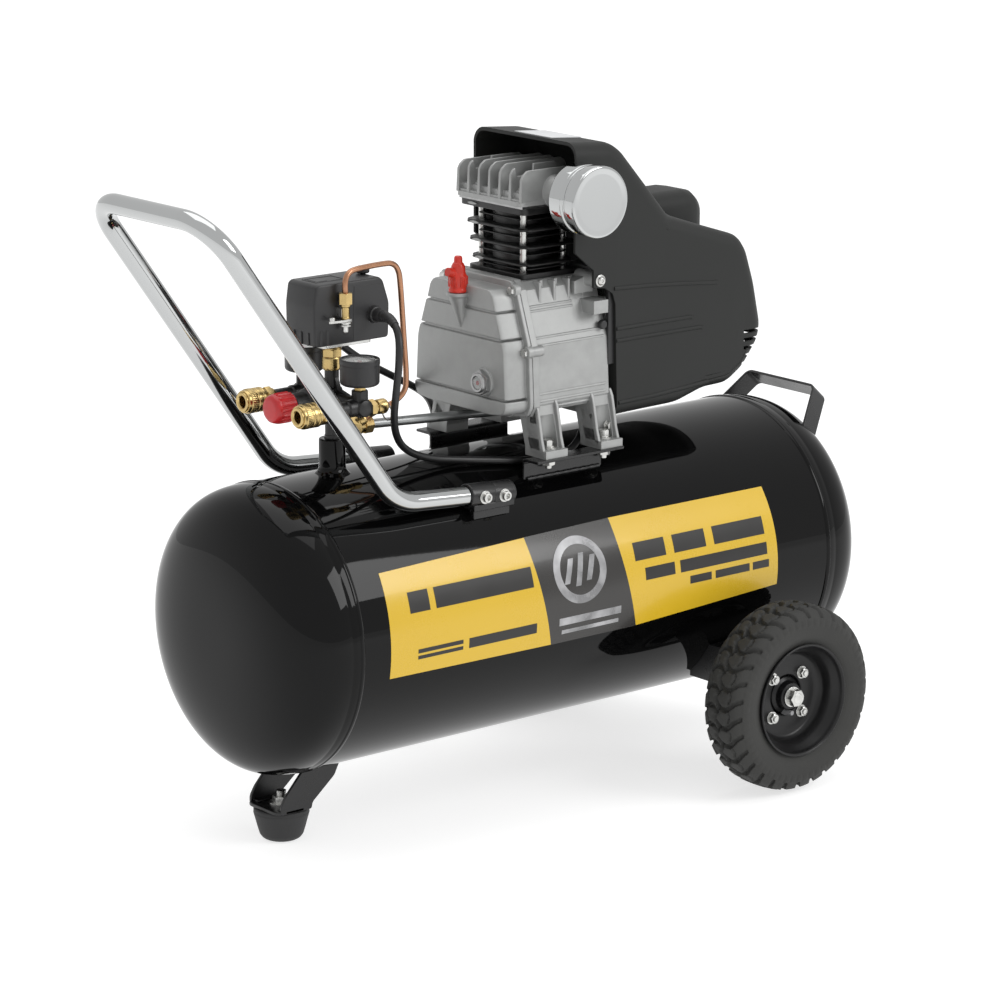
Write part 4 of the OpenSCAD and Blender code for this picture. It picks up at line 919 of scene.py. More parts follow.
SHROUD_BACK = [(72, 411), (108, 412), (164, 413), (204, 424), (238, 425), (262, 440), (284, 468), (288, 486),
               (277, 535), (264, 573), (252, 588), (192, 607), (150, 621), (118, 657), (80, 699), (64, 708),
               (12, 712)]
SHROUD_FRONT = [(11, 596), (37, 575), (37, 556), (53, 554), (64, 547), (68, 535), (70, 470)]


def inset_chain(chain, d):
    """An open line of (x, z) points moved to its left-hand side."""
    out = []
    for i, p in enumerate(chain):
        p = Vector(p)
        u = (p - Vector(chain[i - 1])).normalized() if i else (Vector(chain[1]) - p).normalized()
        v = (Vector(chain[i + 1]) - p).normalized() if i < len(chain) - 1 else u
        nu, nv = Vector((-u.y, u.x)), Vector((-v.y, v.x))
        mid = (nu + nv).normalized()
        out.append(p + mid * d / max(mid.dot(nu), 0.5))
    return [(p.x, p.y) for p in out]


def shroud_form(d, front, mouth=0.0):
    """The shroud's outer form shrunk by d, its long edges rounded, its front points as given."""
    bm = bmesh.new()
    half, r = SHROUD_Y - d, SHROUD_EDGE - d

    def ring_at(y, inset):
        back = rounded(inset_chain(SHROUD_BACK, inset), max(9.0 - 0.4 * inset, 2.0), 4)
        back[-1] = (back[-1][0] - mouth, back[-1][1])
        return [(x, y, z) for x, z in back + front]

    rows = []
    for k in list(range(-8, 0)) + list(range(1, 9)):
        t = math.pi / 2 * (abs(k) - 1) / 7
        rows.append(ring_at(math.copysign(half - r + r * math.sin(t), k), d + r * (1 - math.cos(t))))
    loft(bm, rows)
    bmesh.ops.triangulate(bm, faces=[f for f in bm.faces if len(f.verts) > 4])
    return bm


def carved(body, cutters):
    """A bmesh in the tank's millimetres: the first form less all the others."""
    base = placed("carve_base", body)
    tools = []
    for cut in cutters:
        tool = placed("carve_tool", cut)
        mod = base.modifiers.new("cut", "BOOLEAN")
        mod.operation, mod.solver, mod.object = "DIFFERENCE", "MANIFOLD", tool
        tools.append(tool)
    bpy.context.view_layer.update()
    done = base.evaluated_get(bpy.context.evaluated_depsgraph_get())
    bm = bmesh.new()
    bm.from_mesh(done.to_mesh())
    done.to_mesh_clear()
    for obj in [base] + tools:
        mesh = obj.data
        bpy.data.objects.remove(obj)
        bpy.data.meshes.remove(mesh)
    for v in bm.verts:
        v.co = (v.co.x * 1000 - SHIFT, v.co.y * 1000, v.co.z * 1000)
    return bm


def box_form(*boxes):
    bm = bmesh.new()
    for x, y, z in boxes:
        box_into(bm, x, y, z)
    return bm


def make_shroud():
    hollow_front = [(-4, 596), (20, 580), (40, 577), (40, 559), (56, 557), (67, 549), (71, 536), (73, 470)]
    slots = [((256, 300), (-95, 95), (434 + 9 * i, 438 + 9 * i)) for i in range(6)]
    grille = [((240, 300), (-52, 52), (490 + 10 * i, 495 + 10 * i)) for i in range(7)]
    necks = bmesh.new()
    lathe_into(necks, [(-90, 0), (-90, 14), (-78, 14), (-78, 0)], (CYL_X, 0, FILTER_Z), (0, 1, 0), 48)
    lathe_into(necks, [(78, 0), (78, 14), (90, 14), (90, 0)], (PORT_X, 0, PORT_Z), (0, 1, 0), 48)
    body = carved(shroud_form(0.0, SHROUD_FRONT),
                  [shroud_form(3.0, hollow_front, mouth=16.0), box_form(((-2, 66), (-81, 81), (540, 597))),
                   box_form(*slots), box_form(*grille), necks])
    piece("shroud_shell", body, SHROUD, "shroud_plastic", "fan_shroud", smooth=34)
    # Bulge over the run capacitor
    bm = bmesh.new()
    rows = []
    for x, d, top in ((112, 0, 604), (128, 0, 619), (150, 0, 628), (160, 0, 630), (236, 0, 630),
                      (248, 1.2, 628),
                      (257, 5, 622), (261.5, 11, 612), (262, 14, 606)):
        low = 584.0 if x < 240 else 582.0
        pts = [(56 - d, low)] + arc(38 - d, top - 18, 18, 0, 90, 8) + arc(4 + d, top - 18, 18, 90, 180, 8) + \
            [(-14 + d, low)]
        rows.append([(x, y, z) for y, z in pts])
    loft(bm, rows)
    piece("shroud_bulge", bm, SHROUD, "shroud_plastic", smooth=50)


def make_shroud_detail():
    bm = bmesh.new()
    for side in (-1, 1):
        y = side * (SHROUD_Y - 1.3)
        rib(bm, [(66, 552), (110, 550), (165, 546), (205, 542), (215, 541.5)], y, 2.7)
        rib(bm, [(70, 508), (125, 508), (176, 508), (179, 506.8)], y, 2.7)
        rib(bm, [(70, 495), (125, 495), (191, 495), (194, 493.8)], y, 2.7)
        rib(bm, [(74, 427), (120, 428), (165, 430.5), (203, 433)], y, 2.7)
        # Step along the lower edge and a raised field behind the ribs
        rib(bm, [(203, 433), (232, 435), (252, 447), (262, 462)], y, 1.6)
    piece("shroud_beads", bm, SHROUD, "shroud_plastic", smooth=50)
    # Blank sticker on top of the hood
    bm = bmesh.new()
    outline = [(18, -36), (59, -36), (60, -35), (60, 23), (59, 24), (18, 24), (17, 23), (17, -35)]

    def top_z(x):
        return 712.15 - (x - 17) / 43 * 3.4

    loft(bm, [[(x, y, top_z(x) + lift) for x, y in outline] for lift in (-0.4, 0.35)])
    finish_mesh("hood_sticker", bm, STICKER, smooth=30)
    # Seal strip between the crankcase's rear and the shroud
    bm = bmesh.new()
    for side in (-1, 1):
        side_prism(bm, [(61.5, 470), (70.5, 470), (68.5, 535), (64.5, 547), (61.5, 551)], side, 76.5, 80.5)
    piece("shroud_seal", bm, PLASTIC, "black_plastic", smooth=30, bevel=0.5)


# ------------------------------------------------------------------ pump

CYL_X, PORT_X, PORT_Z, FILTER_Z = 9.0, 30.0, 661.0, 656.0
FILLER_X, BOLT_X, BOLT_Y = -79.0, 27.0, 34.0
CASE_FRONT, COVER_X = -45.0, -76.0
CASE_HALF = [(56, 427.5), (76, 430.5), (81.5, 439.5), (78, 500), (62, 545), (58, 558), (50, 566)]
CASE_SCREWS = [(-74, 497), (74, 497), (-53, 560), (53, 560), (-48, 429.5), (48, 429.5)]


def case_ring(grow):
    """The crankcase's outline as (y, z), grown or shrunk square to its sides."""
    pts = CASE_HALF + [(-y, z) for y, z in reversed(CASE_HALF)]
    n = len(pts)
    out = []
    for i in range(n):
        a, b, c = Vector(pts[i - 1]), Vector(pts[i]), Vector(pts[(i + 1) % n])
        u, v = (b - a).normalized(), (c - b).normalized()
        nu, nv = Vector((u.y, -u.x)), Vector((v.y, -v.x))
        mid = (nu + nv).normalized()
        out.append(b + mid * grow / max(mid.dot(nu), 0.3))
    return [(p.x, p.y) for p in out]


def soft_corners(pts, r, steps=4):
    """A closed outline with its corners rounded."""
    out = []
    for a, p, b in zip(pts[-1:] + pts, pts, pts[1:] + pts[:1]):
        out += bend(a, p, b, r, steps, 0.42)
    return out


def layered(bm, sections):
    """A closed form from sections (x, outline of (y, z)) with the same number of points each."""
    loft(bm, [[(x, y, z) for y, z in ring] for x, ring in sections])


def clip(outline, low, high):
    """The part of a closed outline of (y, z) between two heights."""
    for sign, limit in ((1, low), (-1, -high)):
        out = []
        for i, p in enumerate(outline):
            q = outline[i - 1]
            a, b = sign * q[1] - limit, sign * p[1] - limit
            if (a < 0) != (b < 0):
                t = a / (a - b)
                out.append((q[0] + (p[0] - q[0]) * t, q[1] + (p[1] - q[1]) * t))
            if b >= 0:
                out.append(p)
        outline = out
    return outline


def make_cover():
    """Front cover: a flange with screw ears, four bands parted by grooves and the filler's cone."""
    bm = bmesh.new()
    core = soft_corners(case_ring(-7.5), 7)
    layered(bm, [(CASE_FRONT - 2, core), (COVER_X + 2.5, [(y * 0.95, z) for y, z in core])])
    for low, high, grow, x in ((539.6, 567, -4.0, COVER_X + 0.6), (511.6, 537.4, -3.4, COVER_X),
                               (448.2, 509.4, -2.8, COVER_X - 0.4), (426, 446, -1.4, COVER_X - 1.2)):
        band = clip(soft_corners(case_ring(grow), 6), low, high)
        layered(bm, [(CASE_FRONT - 2, band), (x + 4, [(y * 0.975, z) for y, z in band]),
                     (x, [(y * 0.945, low + (z - low) * 0.97 + 0.4) for y, z in band])])
    flange = soft_corners(case_ring(3.4), 7)
    layered(bm, [(CASE_FRONT - 0.1, flange), (CASE_FRONT - 5, flange)])
    for y, z in CASE_SCREWS:
        lathe_into(bm, rounded([(-52, 0), (-52, 6.4), (-45.2, 7.2), (-45.2, 0)], 0.6), (0, y * 1.06, z),
                   (1, 0, 0), 32)
    # Filler: a cone that runs out on the face, with a collar on top
    line = [Vector((-78.6 + 5.5 * t, 0, 552.6 - 37 * t)) for t in [k / 10 for k in range(11)]]
    tube_into(bm, line, 11, 40, [11.6 - 8.4 * (k / 10) for k in range(11)])
    lathe_into(bm, rounded([(549, 0), (549, 11.8), (550, 12.6), (552.6, 12.6), (553.3, 11.8), (553.3, 8.2),
                            (545, 8.2)], 0.6), (FILLER_X, 0, 0), (0, 0, 1), 56)
    lathe_into(bm, rounded([(-79, 0), (-79, 14.4), (-78.2, 15.2), (-70, 16), (-70, 0)], 0.8), (0, -40, 463),
               (1, 0, 0), 56)
    piece("cover_casting", bm, CAST, "cast_aluminium", "crankcase_cover", bevel=1.1, segments=3,
          bevel_angle=42)


def flank(z):
    """Half width of the crankcase at a height."""
    for (y0, z0), (y1, z1) in zip(CASE_HALF, CASE_HALF[1:]):
        if z0 <= z <= z1:
            return y0 + (y1 - y0) * (z - z0) / (z1 - z0)
    return CASE_HALF[-1][0]


def make_case_detail():
    bm = bmesh.new()
    for side in (-1, 1):
        # Gusset from the flange to the lug, and the lug's boss
        side_prism(bm, [(26, 548), (52, 548), (52, 560), (40, 566), (26, 562)], side, 50.0, 66.0)
        for x in (-20, 0, 20, 40):
            side_prism(bm, [(x, 541), (x + 3, 541), (x + 3, 565.5), (x, 565.5)], side, 52.0, 62.5)
        lathe_into(bm, rounded([(50, 0), (50, 9), (74, 7.4), (80.2, 7.2), (80.8, 6.6), (80.8, 0)], 0.8),
                   (LUG[0], 0, LUG[1]), (0, side, 0), 40)
        # Outer ribs of the legs
        for x in (-26, 51):
            for dx in (-15, 11.5):
                rows = []
                for z, y in ((385, 97), (393, 95), (404, 91.5), (420, 88.5), (436, 85), (444, 81)):
                    rows.append([(x + dx, side * (y - 22), z), (x + dx, side * y, z),
                                 (x + dx + 3.5, side * y, z), (x + dx + 3.5, side * (y - 22), z)])
                loft(bm, rows)
        # Level beads along the side
        for z, x1 in ((541, 24), (536.5, 24), (509.5, 58), (501.5, 58), (450.5, 58), (443, 58), (435, 58)):
            tube_into(bm, [Vector((x, side * (flank(z) - 0.5), z)) for x in (CASE_FRONT + 6, x1)], 1.6, 12)
    piece("case_ribs", bm, CAST, "cast_aluminium", bevel=0.7, bevel_angle=40)
    bm = bmesh.new()
    lathe_into(bm, rounded([(-76, 0), (-76, 5.2), (-79.5, 5.0), (-81.2, 4.2), (-81.6, 0)], 0.6), (55, 0, 514),
               (0, 1, 0), 32)
    piece("case_plug", bm, PLASTIC, "black_plastic", smooth=40)
    bm = bmesh.new()
    bolt_into(bm, (62, -80, 404), (0, -1, 0), af=8, head=4.5, washer=6)
    piece("case_bolt", bm, ZINC, "zinc")


def make_breather():
    bm = bmesh.new()
    lathe_into(bm,
               rounded([(551, 0), (551, 7.9), (553.6, 7.9), (553.6, 10), (556, 10.2), (558, 9.4), (561, 9.2),
                            (566, 9.8), (571, 9.6), (573, 8.2), (575, 7.8), (581, 7.4), (584.5, 5.6),
                            (585, 4.6),
                            (590, 4.4), (592, 3.4), (592, 0)], 0.9), (FILLER_X, 0, 0), (0, 0, 1), 48)
    # The bent vent nose towards the handle end
    nose = smooth([(FILLER_X, 0, 570), (-84.5, 0, 573.5), (-90, 0, 575.5), (-93.5, 0, 576.5)], 5)
    tube_into(bm, nose, 5, 24, [5.6 - 1.0 * i / (len(nose) - 1) for i in range(len(nose))])
    # Grip flutes
    for k in range(10):
        a = TAU * k / 10
        lathe_into(bm, [(559, 0), (559.4, 1.2), (570.6, 1.2), (571, 0)],
                   (FILLER_X + 9.4 * math.cos(a), 9.4 * math.sin(a), 0), (0, 0, 1), 10)
    piece("oil_cap", bm, ORANGE_RED, "red_plastic", "oil_breather", body="oil_breather", smooth=36)


def make_sight_glass():
    bm = bmesh.new()
    at, axis = (COVER_X - 3, -40, 463), (-1, 0, 0)
    hex_into(bm, 24, 0, 4.6, at, axis, chamfer=1.0)
    lathe_into(bm,
               rounded([(4.5, 0), (4.5, 10.8), (6.4, 10.6), (7.6, 9.8), (7.6, 7.4), (5.6, 7.2), (5.6, 0)],
                       0.5),
               at, axis, 48)
    piece("sight_ring", bm, STEEL, "steel_parts", "sight_glass")
    bm = bmesh.new()
    lathe_into(bm, [(5.5, 0), (5.5, 7.1), (6.9, 7.1), (7.3, 0)], at, axis, 40)
    piece("sight_window", bm, GLASS, "window")
    bm = bmesh.new()
    lathe_into(bm, [(5.45, 0), (5.45, 2.6), (5.8, 2.4), (5.9, 0)], at, axis, 24)
    piece("sight_dot", bm, RED, "red_plastic")


def make_pump_bolts():
    bm = bmesh.new()
    for y, z in CASE_SCREWS:
        bolt_into(bm, (CASE_FRONT - 5, y * 1.06, z), (-1, 0, 0), af=8, head=5, washer=5.5, washer_t=1.0,
                  turn=y * 0.1)
    for sx in (-1, 1):
        for sy in (-1, 1):
            at = (CYL_X + sx * BOLT_X, sy * BOLT_Y, 0)
            lathe_into(bm,
                       rounded([(557, 0), (557, 3.9), (661, 3.9), (661, 9.6), (663, 9.6), (663, 6.2),
                                (664.5, 6.0),
                                    (664.5, 0)], 0.3), at, (0, 0, 1), 28)
            hex_into(bm, 13, 664, 671.5, at, (0, 0, 1), turn=0.3 * sx)
    for side in (-1, 1):
        axis = (0, side, 0)
        lathe_into(bm,
                   rounded([(83.9, 0), (83.9, 6.6), (85.1, 6.6), (85.4, 4.8), (87, 4.6), (88.4, 3.4),
                            (88.6, 1.6),
                                (87.2, 1.2), (87.2, 0)], 0.3), (LUG[0], 0, LUG[1]), axis, 32)
    piece("pump_hardware", bm, ZINC, "zinc", "pump_fasteners")
    bm = bmesh.new()
    for side in (-1, 1):
        for x in (-26, 51):
            at = (x, side * 86, 392.5)
            # Plain washer, split washer, head; nut and thread under the rail
            lathe_into(bm, [(0, 0), (0, 8.9), (1.3, 8.9), (1.5, 8.5), (1.5, 0)], at, (0, 0, 1), 36)
            lathe_into(bm, rounded([(1.5, 4.4), (1.5, 6.6), (3.2, 6.6), (3.2, 4.4)], 0.3), at, (0, 0, 1), 32)
            hex_into(bm, 10, 3.2, 9.4, at, (0, 0, 1), turn=0.4 + x)
            hex_into(bm, 13, 11.6, 18.0, at, (0, 0, -1), turn=0.9 + x)
            lathe_into(bm, [(17.9, 0), (17.9, 3.9), (21.5, 3.7), (21.9, 0)], at, (0, 0, -1), 24)
    bolt_into(bm, (-317, 0, 38.5), (0, 0, 1), af=17, head=7, washer=13, shank=6, turn=0.3)
    piece("frame_hardware", bm, ZINC, "zinc", "frame_fasteners")


NOTCH, NOTCH_DEPTH = 9.0, 6.0


def fin_outline(half_x, half_y):
    """A fin with notches at the corners where the long bolts pass."""
    inner = half_x - NOTCH_DEPTH
    q = [(half_x, half_y - NOTCH - NOTCH_DEPTH), (half_x, half_y - NOTCH), (inner, half_y - NOTCH + 1),
         (inner - 1, half_y - 2), (inner - 4, half_y)]
    upper = q + [(-x, y) for x, y in reversed(q)]
    return [(CYL_X + x, y) for x, y in upper + [(-x, -y) for x, y in upper]]


FINS = ((581, 38, 48), (600, 40, 50), (619, 42, 52))


def make_cylinder():
    bm = bmesh.new()
    lathe_into(bm, [(566, 0), (566, 31), (643, 31), (643, 0)], (CYL_X, 0, 0), (0, 0, 1), 64)
    box = [(-38, -46), (38, -46), (38, 46), (-38, 46)]
    prism_into(bm, [(CYL_X + x, y) for x, y in soft_corners(box, 8, 4)], 566, 572, "z")
    for z, hx, hy in FINS:
        rows = []
        for dz, shrink in ((-2.1, 3.2), (-1.2, 0.7), (0, 0), (1.2, 0.7), (2.1, 3.2)):
            rows.append([(x, y, z + dz) for x,
                         y in soft_corners(fin_outline(hx - shrink, hy - shrink), 2.5, 3)])
        loft(bm, rows)
    for z in (575.5, 590.5, 609.5, 628.5):
        prism_into(bm, soft_corners(fin_outline(33.5, 41.5), 2.0, 3), z - 0.9, z + 0.9, "z")
    prism_into(bm,
               [(CYL_X + x, y) for x, y in soft_corners([(-43, -53), (43, -53), (43, 53), (-43, 53)], 7, 4)],
               636.2, 643, "z")
    piece("cylinder_fins", bm, IRON, "black_iron", "cylinder_barrel", bevel=0.6, bevel_angle=40)
    # Machined ends of the fins on the front side
    bm = bmesh.new()
    for z, hx, hy in FINS + ((639.5, 44, 53),):
        pts = [(hy - 30 + 15.5 * k / 10, z + 1.5 * math.sin(math.pi * k / 10) ** 0.7) for k in range(11)]
        pts += [(y, 2 * z - zz) for y, zz in reversed(pts[1:-1])]
        layered(bm, [(CYL_X - hx + 1.5, pts), (CYL_X - hx - 0.25, pts)])
    piece("fin_tips", bm, CAST, "black_iron")


def make_head():
    bm = bmesh.new()
    base = soft_corners([(CYL_X - 48, -54), (CYL_X + 46, -54), (CYL_X + 46, 54), (CYL_X - 48, 54)], 8, 5)
    prism_into(bm, base, 646, 651, "z")
    prism_into(bm, soft_corners([(CYL_X - 46, -52.5), (CYL_X + 44.5, -52.5), (CYL_X + 44.5, 52.5),
                                 (CYL_X - 46, 52.5)], 7, 5), 651, 653.2, "z")
    prism_into(bm, soft_corners([(CYL_X - 42.5, -52.5), (CYL_X + 42.5, -52.5), (CYL_X + 42.5, 52.5),
                                 (CYL_X - 42.5, 52.5)], 4, 5), 652.5, 659, "z")
    for i in range(7):
        y = -51.5 + 103 * i / 6
        outer = i in (0, 6)
        by_bolt = i in (1, 5)
        top = 683.5 if outer else 687
        x0, x1 = CYL_X - 47, CYL_X + 45
        front = [(x0, 650), (x0 + 1.0, top - 9), (x0 + 3.5, top - 4.5), (x0 + 9, top - 0.5), (x0 + 12, top)]
        back = [(x1 - 8, top), (x1 - 3, top - 3), (x1, top - 9), (x1, 650)]
        if by_bolt:
            # Stepped down over each bolt's boss
            a, b = CYL_X - BOLT_X, CYL_X + BOLT_X
            front = front[:3] + [(a - 13, top - 2.5), (a - 11.5, 677), (a - 10, 675.5), (a + 10, 675.5),
                                 (a + 11.5, 677),
                      (a + 12.5, top), (b - 12.5, top), (b - 11.5, 677), (b - 10, 675.5)]
            back = [(x1 - 3, 675.5), (x1, 672.5), (x1, 650)]
        rows = []
        for dy, shrink in ((-2.1, 0), (2.1, 0)):
            rows.append([(x, y + dy * (1.0 - 0.42 * max(0, min(1, (z - 656) / 31))), z) for x,
                         z in front + back])
        loft(bm, rows)
    for sx in (-1, 1):
        for sy in (-1, 1):
            lathe_into(bm, rounded([(650, 0), (650, 12.4), (660, 11.8), (661, 11.2), (661, 4.1)], 0.6),
                       (CYL_X + sx * BOLT_X, sy * BOLT_Y, 0), (0, 0, 1), 40)
    # Inlet boss towards the filter, outlet boss behind
    lathe_into(bm,
               rounded([(-46, 0), (-46, 19), (-55, 17.2), (-62, 15.2), (-64, 14.6), (-64, 9.2), (-50, 9)],
                       1.0),
               (CYL_X, 0, FILTER_Z + 3), (0, 1, 0), 56)
    lathe_into(bm, rounded([(48, 0), (48, 14), (60, 12.2), (62, 11.8), (62, 5.2), (56, 5)], 0.8),
               (PORT_X, 0, PORT_Z),
               (0, 1, 0), 48)
    piece("head_casting", bm, CAST, "cast_aluminium", "cylinder_head", bevel=0.55, bevel_angle=38)


def make_filter():
    at, axis = (CYL_X, 0, FILTER_Z), (0, -1, 0)
    can = lathe("filter_can",
                rounded([(64, 8.2), (64, 12), (78, 12), (82, 15), (84, 28), (84.6, 36.2), (86.5, 37),
                                       (103.6, 37), (104.6, 36), (105.4, 35.2), (108.2, 35.2), (109.4, 36.4),
                                       (110.6, 37), (112.6, 37), (113.2, 38), (124.4, 38), (125.6, 37.2),
                                       (126, 35.6),
                                       (125.5, 30), (125.2, 0)], 0.7), at, axis, CHROME, segs=128, smooth=30)
    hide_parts("filter_housing")


make_shroud()
make_shroud_detail()
make_cover()
make_case_detail()
make_breather()
make_sight_glass()
make_pump_bolts()
make_cylinder()
make_head()
make_filter()

# ------------------------------------------------------------------ foot, rails and carry handle


def make_foot():
    bm = bmesh.new()
    base = soft_corners([(-343, -28), (-297, -28), (-297, 28), (-343, 28)], 12, 5)
    prism_into(bm, base, 35, 38.5, "z")
    for side in (-1, 1):
        # Arms that lean towards the shell, and the turned-in lips at their feet
        arm = soft_corners([(-338, 35.2), (-298, 35.2), (-297, 42), (-268, 66), (-260, 82), (-262, 92),
                            (-300, 96),
                            (-309, 79), (-332, 54), (-338, 44)], 3, 3)
        side_prism(bm, arm, side, 24.5, 28.0)
        side_prism(bm, [(-335, 38), (-299, 38), (-299, 40), (-335, 40)], side, 17.0, 27.0)
    piece("foot_plates", bm, SATIN, "black_paint", "foot_bracket", bevel=0.6, bevel_angle=50)
    profile = [(0, 0), (0, 12), (0.8, 17.0), (2.6, 20.4), (6, 23.0), (14, 25.4), (24, 28.0), (29.5, 29.6),
               (31, 29.2), (31.8, 29.4), (33.8, 29.4), (35, 28.0), (35, 0)]
    rubber = lathe("foot_rubber_pad", rounded(profile, 1.4), (-317, 0, 0), (0, 0, 1), FOOT, segs=96)
    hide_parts("rubber_foot")


def make_rails():
    bm = bmesh.new()
    for side in (-1, 1):
        outer = [(76.2, 350), (79.2, 350), (79.2, 378.5)] + arc(81.7, 378.5, 2.5, 180, 90, 4) + \
            [(102.2, 381), (102.2, 384)] + arc(81.2, 379, 5, 90, 180, 5)
        layered(bm, [(x, [(side * y, z) for y, z in outer]) for x in (-54, 54)])
        y0, y1 = sorted((side * 84.0, side * 102.2))
        prism_into(bm, soft_corners([(53, y0), (68, y0), (68, y1), (53, y1)], 4, 4), 381.1, 383.9, "z")
    piece("rail_angles", bm, SATIN, "black_paint", "pump_rails", bevel=0.5, bevel_angle=50)
    bm = bmesh.new()
    for side in (-1, 1):
        line = [Vector((x, side * 79.8,
                        TANK_Z + math.sqrt(TANK_R ** 2 - 79.8 ** 2) + 0.5)) for x in range(-50, 51, 4)]
        tube_into(bm, line, 2.2, 10, [2.0 + 0.5 * ((i * 7) % 3) / 2 for i in range(len(line))])
    piece("rail_welds", bm, SATIN, "black_paint", smooth=60)


def make_carry_handle():
    base, lean, half, rise, wide = (371.0, 76.0, 354.0), math.radians(42), 50.0, 49.0, 24.0
    outline = [(-base[1], -8), (-base[1] + 3.2, -8)] + arc(-half + 3, rise - 11, 8, 150, 90, 6) + \
        arc(half - 3, rise - 11, 8, 90, 30, 6) + [(base[1] - 3.2, -8), (base[1], -8)] + \
        arc(half - 3, rise - 11, 11, 30, 90, 6) + arc(-half + 3, rise - 11, 11, 90, 150, 6)
    bm = bmesh.new()
    rows = []
    for x in (-wide / 2, wide / 2):
        row = []
        for y, z in outline:
            row.append((base[0] + x * math.cos(lean) + z * math.sin(lean), y,
                        base[2] - x * math.sin(lean) + z * math.cos(lean)))
        rows.append(row)
    loft(bm, rows)
    piece("carry_strap", bm, SATIN, "black_paint", "carry_handle", smooth=40, bevel=0.5, bevel_angle=50)


make_foot()
make_rails()
make_carry_handle()

# ------------------------------------------------------------------ air lines and controls

RISER_X, BRANCH_Y, BAR_Z, VALVE_Z = -247.0, 47.0, 461.0, 428.0
PIPE_Y, PIPE_R, PIPE_BEND = 90.0, 5.0, 22.0
GLAND_X, GLAND_Z = -211.0, 550.0


def make_pipe():
    fall = math.radians(3.6)
    low_z = VALVE_Z - math.tan(fall) * (PORT_X + 198)
    start = Vector((-199.5, 0, VALVE_Z + 0.1))
    corners = [start, Vector((PORT_X, 0, low_z)), Vector((PORT_X, PIPE_Y, low_z)),
               Vector((PORT_X, PIPE_Y, PORT_Z)),
               Vector((PORT_X, 60, PORT_Z))]
    line = [start]
    for a, b, c in zip(corners, corners[1:], corners[2:]):
        u, v = (b - a).normalized(), (c - b).normalized()
        mid = b - u * PIPE_BEND + v * PIPE_BEND
        for k in range(11):
            t = math.pi / 2 * k / 10
            line.append(mid + u * PIPE_BEND * math.sin(t) - v * PIPE_BEND * math.cos(t))
    line.append(corners[-1])
    bm = bmesh.new()
    tube_into(bm, line, PIPE_R, 28)
    piece("delivery_tube", bm, TUBE_AL, "tube_aluminium", "discharge_pipe", smooth=50)
    bm = bmesh.new()
    hex_into(bm, 19, 62.3, 71, (PORT_X, 0, PORT_Z), (0, 1, 0))
    piece("delivery_nut", bm, BRASS, "brass")
    copper = tube("unloader_line", [(-255, -34, 579), (-255, -34, 590), (-250, -33, 598), (-238, -31, 601),
                                    (-200, -25, 601), (-185, -23, 599), (-177, -22, 591), (-174, -22, 575),
                                    (-168, -20, 520), (-165, -20, 478), (-167, -19, 462), (-178, -17, 452),
                                    (-192, -13, 446), (-209, -7.6, 437.5)], 3.0, COPPER, res=7, sides=20)
    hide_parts("unloader_tube")


def make_check_valve():
    bm = bmesh.new()
    at, axis = (0, 0, VALVE_Z), (1, 0, 0)
    lathe_into(bm, [(-239, 0), (-239, 7), (-230.8, 7), (-230.8, 0)], at, axis, 32)
    hex_into(bm, 20, -231, -215, at, axis, chamfer=1.2)
    lathe_into(bm,
               rounded([(-215.2, 0), (-215.2, 9.2), (-212, 9.2), (-211.4, 8), (-208, 8), (-208, 0)], 0.4),
               at, axis,
               36)
    hex_into(bm, 17, -208, -197.6, at, axis, turn=0.4)
    tilt = Matrix.Rotation(math.radians(63), 3, "Y") @ Matrix.Rotation(math.radians(17.5), 3, "X")
    port = tilt @ Vector((0, 0, 1))
    lathe_into(bm,
               rounded([(0, 0), (0, 5), (7.5, 5), (7.5, 6), (13, 6), (15, 4.8), (15, 3.05), (12, 3)], 0.4),
               (-222, -3, 431), port, 32)
    piece("check_valve_body", bm, BRASS, "brass", "check_valve")


